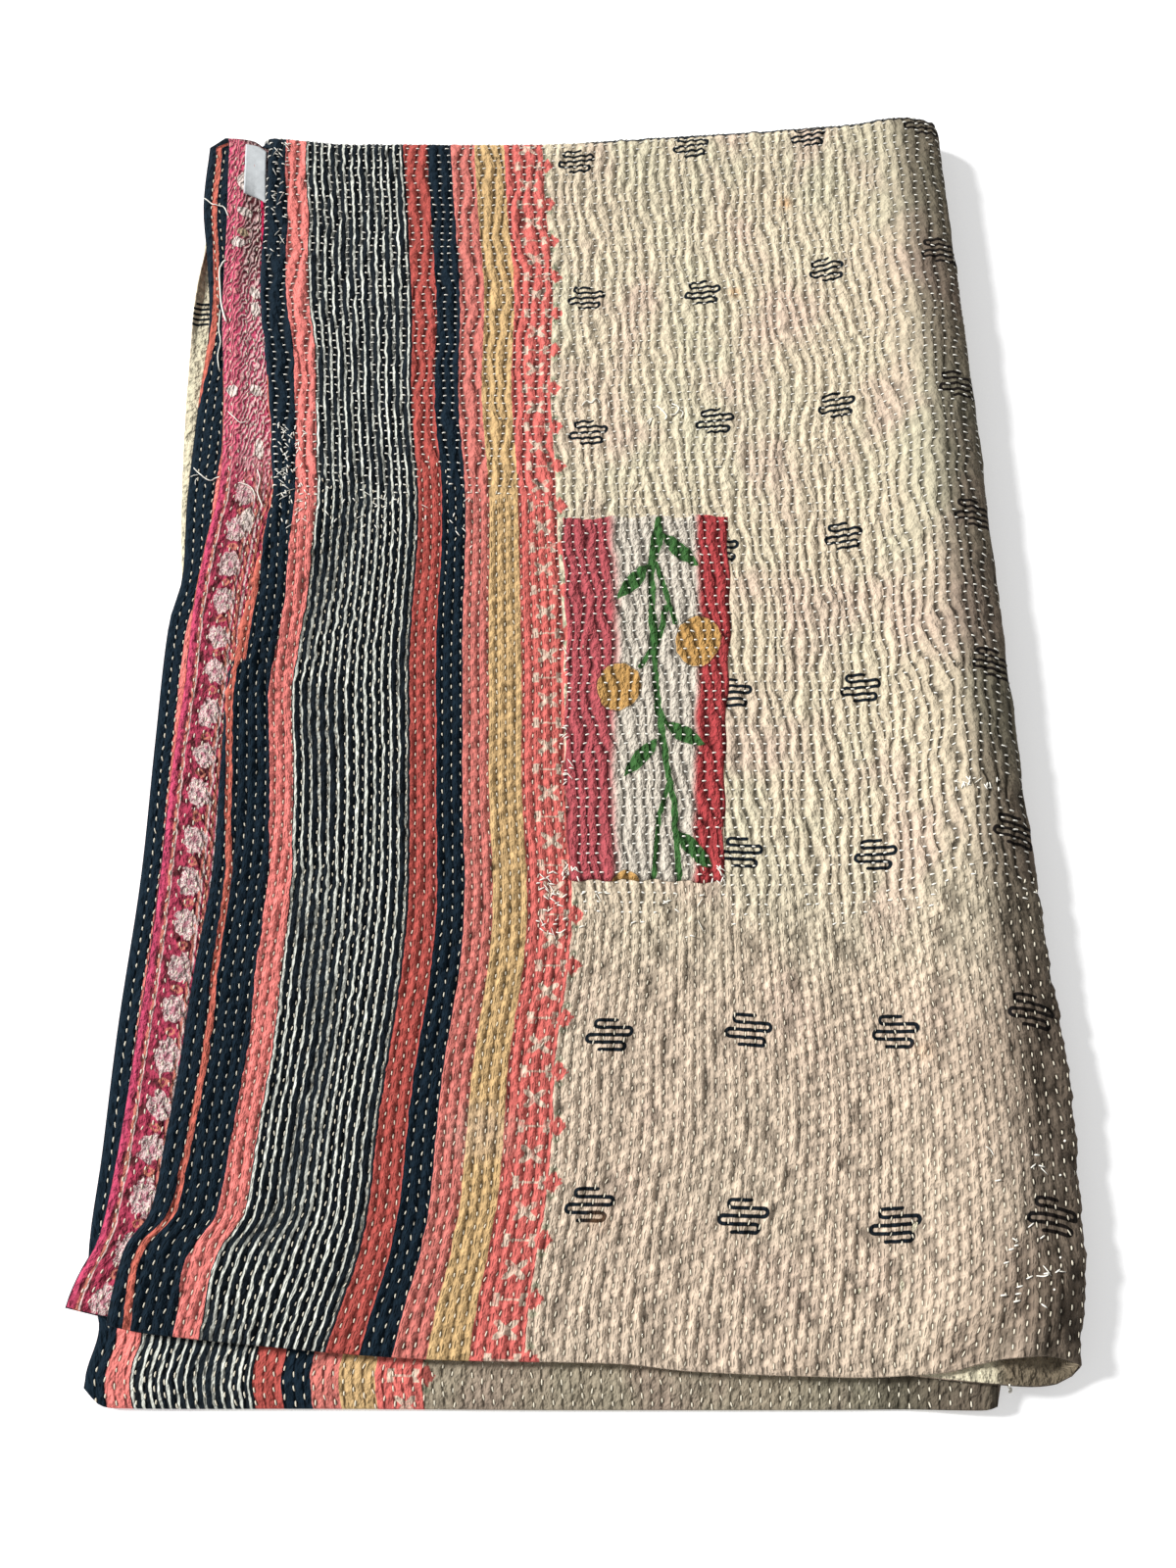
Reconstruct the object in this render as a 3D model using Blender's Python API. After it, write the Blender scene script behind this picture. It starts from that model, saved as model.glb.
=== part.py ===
"""A kantha quilt of old sari cloth, folded in four and laid flat, with its sewn-on patch and blank side label.

The quilt is one flat slab, ridged by its rows of running stitch, that is folded twice. The first fold runs
along its length at the right, and the second runs across the doubled cloth at the far end. That leaves four
layers, from the top: front up, back up, front up, back up. X runs to the right, Y away from the near end,
where the four hems lie one past the other, and Z up from the surface that the quilt lies on.
"""

import math
from collections import namedtuple

import bmesh
import bpy
from mathutils import Vector

# ---- Driving dimensions, in metres ----
QUILT_WIDTH = 1.30
UPPER_LENGTH = 1.02  # straight length of the two upper layers
FAR_FOLD_LENGTH = 0.04  # cloth that goes round the far fold
LOWER_LENGTH = 1.04  # straight length of the two lower layers
QUILT_LENGTH = UPPER_LENGTH + FAR_FOLD_LENGTH + LOWER_LENGTH

THICKNESS = 0.0030
HALF = THICKNESS / 2
PAIR_GAP = 0.0016  # between the two layers of a pair
STACK_GAP = 0.0014  # between the upper pair and the lower one
HEM_PINCH = 0.65  # how much of the thickness is left at a hem
HEM_WIDTH = 0.012

RIDGE_PITCH = 0.0082  # one ridge between two rows of stitch
RIDGE_HEIGHT = 0.0008  # above and below the mean surface
RIDGE_WANDER = 0.0015  # how far a ridge strays sideways

FOLD_AT = 0.632  # cloth from the first edge to the apex of the right-hand fold
CROWN_WIDTH = 0.015  # the right-hand fold's shoulder, seen from above
CROWN_HEIGHT = 0.0065  # half the height of that fold
CROWN_FADE = 0.070  # how far from its shoulder the fold's puff dies away
CROWN_ARC = 0.0176  # cloth on a quarter of the fold
FAR_RADIUS = 0.0088  # of the far fold, to the middle of a pair
FAR_FADE = 0.090

TURN_RADIUS = 0.0026  # the turned-in edge curls round this
TURN_LIFT = 0.0046  # half the pair's spread that the turned-in edge needs
TURN_FADE = 0.050

ROLL_HEIGHT = 0.0022  # the back's frayed edge, rolled along its upper part
ROLL_INSET = 0.0125
ROLL_WIDTH = 0.0050
ROLL_START = 0.15
ROLL_END = 0.26

WAVE_HEIGHT = 0.0011  # the soft hills of the top layer

DROOP = 0.0095  # how far the upper pair sinks where the lower pair's fold no longer carries it
DROOP_START = -0.012
DROOP_RUN = 0.057
LIP_DROOP = 0.0036  # how far the third layer's hem sinks past the fourth's
LIP_RUN = 0.020

PATCH_GAP = 0.0003
PATCH_THICKNESS = 0.0010
PATCH_RIDGE = 0.0004
PATCH_COLUMNS = 34

LABEL_GAP = 0.0004
LABEL_THICKNESS = 0.0005

FIRST_ARC = FOLD_AT - CROWN_ARC
SECOND_ARC = FOLD_AT + CROWN_ARC
BORDER_AT = 0.1515  # where the fine-lined stripe ends, from the first edge
PRINT_AT = 0.2730  # where the printed border ends

# ---- Where the edges lie, section by section ----
# first_edge and second_edge are the long hems, turned_in is the cloth curled under at the first one,
# border and print_edge are two woven lines, and fold is the apex of the right-hand fold.
Section = namedtuple("Section", "y first_edge turned_in border print_edge fold second_edge")

UPPER_SECTIONS = (
    Section(-0.500, -0.3310, 0.000, -0.1840, -0.0390, 0.3285, -0.3640),
    Section(-0.460, -0.3268, 0.000, -0.1715, -0.0330, 0.3365, -0.3596),
    Section(-0.440, -0.3238, 0.000, -0.1645, -0.0290, 0.3385, -0.3530),
    Section(-0.420, -0.3190, 0.000, -0.1590, -0.0260, 0.3395, -0.3430),
    Section(-0.400, -0.3050, 0.000, -0.1545, -0.0255, 0.3405, -0.3385),
    Section(-0.350, -0.2980, 0.000, -0.1480, -0.0250, 0.3430, -0.3330),
    Section(-0.300, -0.2925, 0.000, -0.1420, -0.0225, 0.3430, -0.3292),
    Section(-0.230, -0.2870, 0.000, -0.1365, -0.0140, 0.3395, -0.3240),
    Section(-0.160, -0.2800, 0.001, -0.1325, -0.0105, 0.3370, -0.3208),
    Section(-0.070, -0.2810, 0.004, -0.1335, -0.0120, 0.3358, -0.3188),
    Section(0.000, -0.2785, 0.008, -0.1347, -0.0145, 0.3357, -0.3145),
    Section(0.060, -0.2680, 0.015, -0.1345, -0.0160, 0.3352, -0.3130),
    Section(0.120, -0.2590, 0.026, -0.1345, -0.0180, 0.3350, -0.3070),
    Section(0.170, -0.2545, 0.031, -0.1350, -0.0190, 0.3353, -0.3000),
    Section(0.250, -0.2618, 0.031, -0.1390, -0.0205, 0.3345, -0.3015),
    Section(0.340, -0.2720, 0.031, -0.1430, -0.0215, 0.3330, -0.3110),
    Section(0.430, -0.2790, 0.031, -0.1490, -0.0245, 0.3318, -0.3140),
    Section(0.520, -0.2795, 0.031, -0.1550, -0.0280, 0.3300, -0.3165),
)

LOWER_SECTIONS = (
    Section(-0.530, -0.3150, 0.000, -0.1750, -0.0550, 0.2870, -0.3400),
    Section(-0.505, -0.3150, 0.000, -0.1750, -0.0550, 0.2880, -0.3436),
    Section(-0.474, -0.3150, 0.000, -0.1745, -0.0545, 0.2895, -0.3375),
    Section(-0.434, -0.3155, 0.000, -0.1740, -0.0540, 0.2915, -0.3490),
    Section(-0.360, -0.3160, 0.000, -0.1730, -0.0530, 0.2950, -0.3466),
    Section(-0.270, -0.3165, 0.000, -0.1710, -0.0510, 0.2990, -0.3437),
    Section(-0.160, -0.3170, 0.000, -0.1690, -0.0480, 0.3040, -0.3370),
    Section(-0.050, -0.3180, 0.000, -0.1670, -0.0450, 0.3095, -0.3355),
    Section(0.050, -0.3230, 0.000, -0.1650, -0.0420, 0.3150, -0.3330),
    Section(0.090, -0.3270, 0.000, -0.1640, -0.0410, 0.3170, -0.3255),
    Section(0.160, -0.3330, 0.000, -0.1630, -0.0390, 0.3200, -0.3270),
    Section(0.260, -0.3370, 0.000, -0.1620, -0.0370, 0.3240, -0.3245),
    Section(0.330, -0.3385, 0.004, -0.1610, -0.0350, 0.3265, -0.3205),
    Section(0.400, -0.3365, 0.008, -0.1600, -0.0330, 0.3280, -0.3265),
    Section(0.450, -0.3310, 0.013, -0.1590, -0.0310, 0.3290, -0.3335),
    Section(0.480, -0.3130, 0.021, -0.1580, -0.0300, 0.3295, -0.3345),
    Section(0.520, -0.2870, 0.031, -0.1560, -0.0290, 0.3300, -0.3330),
)

# The hem at the near end, from the first long edge round the right-hand fold to the second long edge.
Hem = namedtuple("Hem", "across y")

UPPER_HEM = (
    Hem(0.000, -0.4705),
    Hem(0.030, -0.4765),
    Hem(0.150, -0.4895),
    Hem(0.220, -0.4955),
    Hem(0.335, -0.5002),
    Hem(0.380, -0.5055),
    Hem(0.480, -0.5110),
    Hem(0.515, -0.5105),
    Hem(0.545, -0.5080),
    Hem(0.565, -0.5025),
    Hem(0.585, -0.4980),
    Hem(0.608, -0.4985),
    Hem(0.632, -0.5075),
    Hem(0.650, -0.5180),
    Hem(0.690, -0.5165),
    Hem(0.800, -0.5060),
    Hem(1.000, -0.4900),
    Hem(1.200, -0.4720),
    Hem(1.270, -0.4665),
    Hem(1.300, -0.4600),
)

LOWER_HEM = (
    Hem(0.000, -0.5120),
    Hem(0.610, -0.5120),
    Hem(0.632, -0.5180),
    Hem(0.645, -0.5290),
    Hem(0.660, -0.5335),
    Hem(0.930, -0.5308),
    Hem(1.130, -0.5268),
    Hem(1.280, -0.5240),
    Hem(1.292, -0.5215),
    Hem(1.300, -0.5120),
)

# The line round which the layers turn at the far end.
FarLine = namedtuple("FarLine", "x y")

FAR_LINE = (
    FarLine(-0.345, 0.5170),
    FarLine(-0.315, 0.5150),
    FarLine(-0.285, 0.5085),
    FarLine(-0.160, 0.5056),
    FarLine(-0.020, 0.5035),
    FarLine(0.050, 0.5076),
    FarLine(0.160, 0.5140),
    FarLine(0.280, 0.5215),
    FarLine(0.325, 0.5150),
    FarLine(0.345, 0.5110),
)

# Creases of the top layer: soft ridges between two places, each so high and so wide.
Crease = namedtuple("Crease", "x1 y1 x2 y2 height width")

CREASES = (
    Crease(0.286, -0.500, 0.330, -0.440, 0.0035, 0.011),
    Crease(0.200, -0.500, 0.262, -0.470, 0.0016, 0.020),
    Crease(-0.330, -0.455, -0.180, -0.400, 0.0014, 0.022),
    Crease(-0.235, 0.120, 0.100, 0.160, 0.0013, 0.024),
    Crease(0.080, -0.190, 0.330, -0.150, 0.0014, 0.024),
    Crease(-0.200, 0.330, -0.120, -0.300, 0.0012, 0.020),
)

# The patch's two ends, each from its left corner to its right one, as cloth from the first edge.
PatchEnd = namedtuple("PatchEnd", "left right")

PATCH_NEAR_END = PatchEnd(0.2715, 0.3912)
PATCH_FAR_END = PatchEnd(0.2780, 0.4166)

# The label's sides: in from the second edge, and from the near hem.
LABEL_LEFT = 0.0190
LABEL_RIGHT = 0.0390
LABEL_NEAR = 0.9500
LABEL_FAR = 1.0060

# ---- The grid of points ----
TURN_PARTS = (0.0, 0.25, 0.5, 0.7, 0.79, 0.86, 0.93)  # lines on the turned-in cloth, as parts of its width
RIDGES_FROM = 4 * RIDGE_PITCH  # up to here the lines follow the turned-in edge
COARSE_EVERY = 8  # hidden faces keep one ridge line in so many
CROWN_EVERY = 4  # or one in so many beside the right-hand fold
COARSE_ROWS = 3  # and one row in so many
FAR_STEPS = 6
RIDGED_FAR_STEPS = 1  # the ridges end this far round the far fold
CROWN_STEPS = 6
PATCH_NEAR, PATCH_FAR = 0.3345, 0.6420  # the patch's ends lie on two of the rows
UPPER_ROWS = (0.012, 0.034, 0.058, 0.085, 0.130, 0.195, 0.265, PATCH_NEAR, 0.410, 0.490,
              0.565, PATCH_FAR, 0.720, 0.800, 0.880, 0.945, 0.985)
LOWER_ROWS = (0.035, 0.070, 0.110, 0.180, 0.270, 0.360, 0.440, 0.540, 0.660,
              0.780, 0.880, 0.940, 0.978, 1.008, 1.028)
SECOND_HALF_STEPS = (0.010, 0.024, 0.045, 0.080, 0.150, 0.240, 0.340, 0.440, 0.530, 0.580)
SECOND_EDGE_INSETS = (0.056, 0.047, 0.039, 0.029, 0.019, 0.0125, 0.006)

BODY_COLOUR = (0.56, 0.45, 0.31, 1.0)
PATCH_COLOUR = (0.50, 0.12, 0.10, 1.0)
LABEL_COLOUR = (0.85, 0.85, 0.83, 1.0)
CREASE_ANGLE = math.radians(24)
CLOTH_ROUGHNESS = 0.92
SATIN_ROUGHNESS = 0.45


def ease(value):
    """Goes from 0 to 1 and is level at both ends."""
    held = min(1.0, max(0.0, value))
    return held * held * (3 - 2 * held)


def read_row(rows, key, column, place):
    """Reads a column of a table at a place between its rows, on a smooth curve."""
    keys = [getattr(row, key) for row in rows]
    values = [getattr(row, column) for row in rows]
    if place <= keys[0]:
        return values[0]
    if place >= keys[-1]:
        return values[-1]
    after = next(i for i, stop in enumerate(keys) if stop > place)
    before = after - 1
    span = keys[after] - keys[before]

    def slope(i):
        low, high = max(0, i - 1), min(len(keys) - 1, i + 1)
        return (values[high] - values[low]) / (keys[high] - keys[low])

    part = (place - keys[before]) / span
    rise = ease(part)
    lean_in = part * (1 - part) ** 2 * slope(before) * span
    lean_out = part * part * (part - 1) * slope(after) * span
    return values[before] + (values[after] - values[before]) * rise + lean_in + lean_out


def section_at(rows, y):
    """The section of the upper or the lower layers at one y."""
    read = [read_row(rows, "y", column, y) for column in Section._fields[1:]]
    return Section(y, *read)


def turn_start(section):
    """Where the first edge's curl begins, so that its leftmost point lies on the section's first edge."""
    reach = math.sin(min(math.pi / 2, section.turned_in / TURN_RADIUS))
    return section.first_edge + (TURN_RADIUS + HALF) * reach


def flat_x(section, across):
    """Where a point of the cloth lies from left to right, in a section, before the fold's shoulder."""
    shoulder = section.fold - CROWN_WIDTH
    if across > SECOND_ARC:
        part = (across - SECOND_ARC) / (QUILT_WIDTH - SECOND_ARC)
        return shoulder + part * (section.second_edge - shoulder)
    stops = (
        (section.turned_in, turn_start(section)),
        (BORDER_AT, section.border),
        (PRINT_AT, section.print_edge),
        (FIRST_ARC, shoulder),
    )
    for (left, left_x), (right, right_x) in zip(stops, stops[1:]):
        if across <= right:
            return left_x + (across - left) / (right - left) * (right_x - left_x)
    return shoulder


def spread_at(section, x):
    """Half the distance between the two layers of a pair: wide at the fold and over the turned-in edge."""
    closed = (THICKNESS + PAIR_GAP) / 2
    from_shoulder = section.fold - CROWN_WIDTH - x
    crown = (CROWN_HEIGHT - closed) * (1 - ease(from_shoulder / CROWN_FADE))
    turned = min(1.0, section.turned_in / (math.pi * TURN_RADIUS))
    from_flap = x - section.first_edge - section.turned_in
    flap = (TURN_LIFT - closed) * turned * (1 - ease(from_flap / TURN_FADE))
    return closed + crown + flap


def ridge_wander(across, along):
    """How far the rows of stitch stray to the side."""
    return RIDGE_WANDER * (
        math.sin(math.tau * along / 0.31 + 9.0 * across)
        + 0.6 * math.sin(math.tau * along / 0.19 - 14.0 * across + 1.3)
    )


def top_lift(x, y):
    """How far the top layer rises off the one under it: soft hills and the creases."""
    hills = 1 + 0.6 * math.sin(9.0 * x + 5.5 * y + 0.4) + 0.4 * math.sin(13.0 * x - 11.0 * y + 2.0)
    lift = WAVE_HEIGHT * hills
    for crease in CREASES:
        run_x, run_y = crease.x2 - crease.x1, crease.y2 - crease.y1
        length = math.hypot(run_x, run_y)
        along = ((x - crease.x1) * run_x + (y - crease.y1) * run_y) / length
        beside = ((x - crease.x1) * run_y - (y - crease.y1) * run_x) / length
        past = max(0.0, -along, along - length)
        lift += crease.height * math.exp(-((math.hypot(beside, past) / crease.width) ** 2))
    return lift


def droop(x, y, upper, first_half):
    """How far a point sinks where nothing lies under it."""
    if upper:
        carried_to = read_row(LOWER_SECTIONS, "y", "fold", y) + DROOP_START
        return DROOP * ease((x - carried_to) / DROOP_RUN)
    return 0.0 if first_half else LIP_DROOP * ease((LOWER_HEM[0].y - y) / LIP_RUN)


def slide(across, turned_in):
    """Moves the lines beside the first edge, so that the same ones lie on the turned-in cloth all along."""
    if across >= RIDGES_FROM:
        return across
    turn = max(turned_in, RIDGE_PITCH)
    if across < RIDGE_PITCH:
        return across * turn / RIDGE_PITCH
    return turn + (across - RIDGE_PITCH) * (RIDGES_FROM - turn) / (RIDGES_FROM - RIDGE_PITCH)


def across_the_pair(section, across, offset):
    """The first fold. Returns x and the height above the middle of the pair."""
    if FIRST_ARC < across < SECOND_ARC:
        angle = (FOLD_AT - across) / CROWN_ARC * math.pi / 2
        lean = Vector((math.cos(angle) / CROWN_WIDTH, math.sin(angle) / CROWN_HEIGHT)).normalized()
        x = section.fold - CROWN_WIDTH + CROWN_WIDTH * math.cos(angle) + offset * lean.x
        return x, CROWN_HEIGHT * math.sin(angle) + offset * lean.y
    side = 1 if across < FOLD_AT else -1
    curled = section.turned_in - across
    if curled <= 0:
        x = flat_x(section, across)
        return x, side * (spread_at(section, x) + offset)
    start = turn_start(section)
    centre = spread_at(section, start) - TURN_RADIUS
    angle = min(math.pi, curled / TURN_RADIUS)
    back = max(0.0, curled - math.pi * TURN_RADIUS)
    radius = TURN_RADIUS + offset
    return start + back - radius * math.sin(angle), centre + radius * math.cos(angle)


def fold(across, along, offset):
    """Both folds: a point of the flat slab goes to its place in the folded quilt."""
    upper = along <= UPPER_LENGTH
    lower = along >= UPPER_LENGTH + FAR_FOLD_LENGTH
    first_half = across < FOLD_AT
    far_section = section_at(UPPER_SECTIONS, UPPER_SECTIONS[-1].y)
    far_x, _ = across_the_pair(far_section, slide(across, far_section.turned_in), 0.0)
    far_y = read_row(FAR_LINE, "x", "y", far_x)
    if upper:
        near_y = read_row(UPPER_HEM, "across", "y", across)
        y = near_y + along / UPPER_LENGTH * (far_y - near_y)
        section = section_at(UPPER_SECTIONS, y)
    elif lower:
        near_y = read_row(LOWER_HEM, "across", "y", across)
        y = far_y + (along - UPPER_LENGTH - FAR_FOLD_LENGTH) / LOWER_LENGTH * (near_y - far_y)
        section = section_at(LOWER_SECTIONS, y)
    else:
        turn = (along - UPPER_LENGTH) / FAR_FOLD_LENGTH
        y = far_y
        before = section_at(UPPER_SECTIONS, y)
        after = section_at(LOWER_SECTIONS, y)
        section = Section(*(a + (b - a) * ease(turn) for a, b in zip(before, after)))
    x, height = across_the_pair(section, slide(across, section.turned_in), offset)
    under, over = (spread_at(section_at(rows, y), x) for rows in (LOWER_SECTIONS, UPPER_SECTIONS))
    closed_radius = (under + over) / 2 + HALF + STACK_GAP / 2
    puff = max(0.0, FAR_RADIUS - closed_radius) * (1 - ease((far_y - y) / FAR_FADE))
    radius = closed_radius + puff
    middle = under + HALF + radius
    straight = ease((far_y - y) / FAR_FADE)
    sunk = droop(x, y, upper, first_half) * straight
    if upper:
        lift = top_lift(x, y) * straight if first_half else 0.0
        x += ridge_wander(across, along) * straight * ease(across / 0.05) * ease((FIRST_ARC - across) / 0.05)
        return Vector((x, y, middle + radius + height + lift - sunk))
    if lower:
        return Vector((x, y, middle - radius - height - sunk))
    angle = turn * math.pi
    reach = radius + height
    return Vector((x, y + reach * math.sin(angle), middle + reach * math.cos(angle)))


def hem_pinch(across, along):
    """How much of the thickness is left: all of it, but less beside a hem."""
    from_hem = min(across, QUILT_WIDTH - across, along, QUILT_LENGTH - along)
    return HEM_PINCH + (1 - HEM_PINCH) * ease(from_hem / HEM_WIDTH)


def ridge(across):
    """1 on a ridge and -1 in the valley where the stitches lie."""
    return math.cos(math.tau * (across - RIDGES_FROM) / RIDGE_PITCH)


def edge_roll(across, along):
    """The roll of the back's frayed edge, beside the label."""
    from_edge = (QUILT_WIDTH - across - ROLL_INSET) / ROLL_WIDTH
    start = ease((along - UPPER_LENGTH / 2 - ROLL_START) / (ROLL_END - ROLL_START))
    end = ease((UPPER_LENGTH - along) / FAR_FADE)
    return ROLL_HEIGHT * math.exp(-from_edge * from_edge) * start * end


def lines_across():
    """The grid's lines from the first edge to the second: two to a ridge on the first half, few on the other."""
    turned = [part * RIDGE_PITCH for part in TURN_PARTS]
    count = int((FIRST_ARC - RIDGE_PITCH) / (RIDGE_PITCH / 2))
    ridged = [RIDGE_PITCH + i * RIDGE_PITCH / 2 for i in range(count)]
    crown = [FIRST_ARC + i * 2 * CROWN_ARC / CROWN_STEPS for i in range(CROWN_STEPS + 1)]
    second = [SECOND_ARC + step for step in SECOND_HALF_STEPS]
    insets = [QUILT_WIDTH - inset for inset in SECOND_EDGE_INSETS]
    return turned + ridged + crown + second + insets + [QUILT_WIDTH]


def lines_along():
    """The grid's lines from the near hem over the far fold to the other near hem."""
    arc = [UPPER_LENGTH + i * FAR_FOLD_LENGTH / FAR_STEPS for i in range(FAR_STEPS + 1)]
    return [0.0, *UPPER_ROWS, *arc, *(arc[-1] + row for row in LOWER_ROWS), QUILT_LENGTH]


def make_slab(across_lines, along_lines):
    """A flat slab as a bmesh, on the given grid lines, with its points still flat: across, along, offset."""
    columns, rows = len(across_lines) - 1, len(along_lines) - 1
    mesh = bmesh.new()
    bmesh.ops.create_grid(mesh, x_segments=columns, y_segments=rows, size=0.5)
    for vert in mesh.verts:
        column = round((vert.co.x + 0.5) * columns)
        row = round((vert.co.y + 0.5) * rows)
        vert.co = (across_lines[column], along_lines[row], -1.0)
    grown = bmesh.ops.extrude_face_region(mesh, geom=mesh.faces[:])["geom"]
    for vert in grown:
        if isinstance(vert, bmesh.types.BMVert):
            vert.co.z = 1.0
    bmesh.ops.recalc_face_normals(mesh, faces=mesh.faces[:])
    return mesh


def thin_hidden_faces(mesh, across_lines, ridged_end):
    """Merges faces that don't show, so that most of the points go into the ridges."""
    spare_lines = {
        round(line, 5)
        for number, line in enumerate(across_lines)
        if RIDGES_FROM < line < FIRST_ARC - 0.001
        and number % (COARSE_EVERY if line < FIRST_ARC - CROWN_FADE else CROWN_EVERY)
    }
    spare_rows = {round(row, 5) for number, row in enumerate(UPPER_ROWS) if number % COARSE_ROWS}
    spare = []
    for edge in mesh.edges:
        start, end = (vert.co for vert in edge.verts)
        middle = (start + end) / 2
        runs_along = abs(start.y - end.y) > 1e-6
        is_rim = abs(start.z - end.z) > 1e-6
        shows_ridges = middle.z > 0.5 and middle.y < ridged_end
        if runs_along or is_rim:
            if round(middle.x, 5) in spare_lines and not (shows_ridges and runs_along):
                spare.append(edge)
        elif round(middle.y, 5) in spare_rows:
            inner_back = middle.z < -0.5 and RIDGES_FROM < middle.x < QUILT_WIDTH - SECOND_EDGE_INSETS[0]
            second_front = middle.z > 0.5 and middle.x > SECOND_ARC
            if inner_back and not FIRST_ARC < middle.x < SECOND_ARC or second_front:
                spare.append(edge)
    bmesh.ops.dissolve_edges(mesh, edges=spare, use_verts=True)


def finish_object(mesh, name, collection, colour, roughness):
    """Makes the bmesh a named object with its own material."""
    data = bpy.data.meshes.new(name)
    mesh.to_mesh(data)
    mesh.free()
    data.shade_smooth()
    data.set_sharp_from_angle(angle=CREASE_ANGLE)
    thing = bpy.data.objects.new(name, data)
    collection.objects.link(thing)
    material = bpy.data.materials.new(name)
    material.use_nodes = True
    shader = material.node_tree.nodes["Principled BSDF"]
    shader.inputs["Base Color"].default_value = colour
    shader.inputs["Roughness"].default_value = roughness
    shader.inputs["Metallic"].default_value = 0.0
    data.materials.append(material)
    return thing


def make_quilt(collection):
    """The quilt: a slab with the ridges raised on its front, folded twice."""
    across_lines, along_lines = lines_across(), lines_along()
    ridged_end = UPPER_LENGTH + (RIDGED_FAR_STEPS + 0.5) * FAR_FOLD_LENGTH / FAR_STEPS
    mesh = make_slab(across_lines, along_lines)
    thin_hidden_faces(mesh, across_lines, ridged_end)
    for vert in mesh.verts:
        across, along, face = vert.co
        offset = HALF * face * hem_pinch(across, along)
        if face > 0 and along < ridged_end and across < FIRST_ARC - HEM_WIDTH:
            offset += RIDGE_HEIGHT * ridge(across) * ease(along / HEM_WIDTH) * ease(across / HEM_WIDTH)
        if face < 0 and across > FOLD_AT and along < UPPER_LENGTH:
            offset -= edge_roll(across, along)
        vert.co = fold(across, along, offset)
    return finish_object(mesh, "kantha_quilt", collection, BODY_COLOUR, CLOTH_ROUGHNESS)


def make_patch(collection):
    """The patch: a thin slab on the ridges of the top layer, ridged by the same rows of stitch."""
    columns = [i / PATCH_COLUMNS for i in range(PATCH_COLUMNS + 1)]
    mesh = make_slab(columns, [row for row in UPPER_ROWS if PATCH_NEAR <= row <= PATCH_FAR])
    for vert in mesh.verts:
        right, along, face = vert.co
        near, far = (end.left + (end.right - end.left) * right for end in (PATCH_NEAR_END, PATCH_FAR_END))
        across = near + (far - near) * (along - PATCH_NEAR) / (PATCH_FAR - PATCH_NEAR)
        offset = HALF + RIDGE_HEIGHT + PATCH_GAP
        if face > 0:
            from_side = min(right, 1 - right) * PATCH_COLUMNS
            is_rim = from_side < 0.5 or along < PATCH_NEAR + HEM_WIDTH or along > PATCH_FAR - HEM_WIDTH
            is_valley = round(from_side) % 2
            offset += PATCH_THICKNESS * (HEM_PINCH if is_rim else 1.0)
            offset += 0.0 if is_rim else PATCH_RIDGE * (1 - 2 * is_valley)
        vert.co = fold(across, along, offset)
    return finish_object(mesh, "vine_patch", collection, PATCH_COLOUR, CLOTH_ROUGHNESS)


def make_label(collection):
    """The label: a thin strip on the second layer's edge, up against the top layer."""
    insets = [inset for inset in SECOND_EDGE_INSETS if LABEL_LEFT <= inset <= LABEL_RIGHT]
    mesh = make_slab([QUILT_WIDTH - inset for inset in insets], [LABEL_NEAR, UPPER_ROWS[-1], LABEL_FAR])
    for vert in mesh.verts:
        across, along, face = vert.co
        offset = -HALF - LABEL_GAP - edge_roll(across, along)
        if face < 0:
            offset -= LABEL_THICKNESS
        vert.co = fold(across, along, offset)
    return finish_object(mesh, "side_label", collection, LABEL_COLOUR, SATIN_ROUGHNESS)


def centre_on_origin(things):
    """Moves every point alike, so that the origin is the middle of the quilt's underside."""
    points = [vert.co for thing in things for vert in thing.data.vertices]
    low = [min(point[axis] for point in points) for axis in range(3)]
    high = [max(point[axis] for point in points) for axis in range(3)]
    shift = Vector(((low[0] + high[0]) / 2, (low[1] + high[1]) / 2, low[2]))
    for thing in things:
        for vert in thing.data.vertices:
            vert.co -= shift
        thing.data.update()


def main():
    """Builds the quilt, its patch and its label."""
    for thing in list(bpy.data.objects):
        bpy.data.objects.remove(thing, do_unlink=True)
    collection = bpy.data.collections.new("kantha_quilt")
    bpy.context.scene.collection.children.link(collection)
    centre_on_origin([make_quilt(collection), make_patch(collection), make_label(collection)])


main()
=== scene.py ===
"""Dresses the folded kantha quilt: ridged front, printed back, stitches, patch, label and loose threads.

Every piece is worked out on the flat cloth first, as places across it from the first edge and along it from
the near hem, and the same two folds as the solid's then carry it to where it lies.
"""

from __future__ import annotations

import logging
import math
from collections.abc import Mapping, Sequence
from dataclasses import dataclass, field
from enum import Enum
from typing import NamedTuple

import bpy
import numpy as np
from mathutils import Euler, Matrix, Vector
from mathutils.bvhtree import BVHTree

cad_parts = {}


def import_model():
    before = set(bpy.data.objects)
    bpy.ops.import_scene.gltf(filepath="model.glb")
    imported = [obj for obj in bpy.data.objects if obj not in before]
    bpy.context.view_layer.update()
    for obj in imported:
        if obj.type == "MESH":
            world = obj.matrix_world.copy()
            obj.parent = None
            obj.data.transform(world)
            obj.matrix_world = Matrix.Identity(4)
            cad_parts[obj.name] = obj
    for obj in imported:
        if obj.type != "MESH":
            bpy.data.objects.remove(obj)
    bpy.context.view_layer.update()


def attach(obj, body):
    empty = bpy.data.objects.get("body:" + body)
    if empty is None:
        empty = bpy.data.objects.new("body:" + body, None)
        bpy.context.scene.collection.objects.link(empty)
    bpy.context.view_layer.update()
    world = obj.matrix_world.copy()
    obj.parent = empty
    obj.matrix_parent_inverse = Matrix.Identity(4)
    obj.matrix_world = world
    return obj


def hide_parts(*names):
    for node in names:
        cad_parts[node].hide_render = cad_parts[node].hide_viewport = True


log = logging.getLogger("kantha_quilt")

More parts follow.
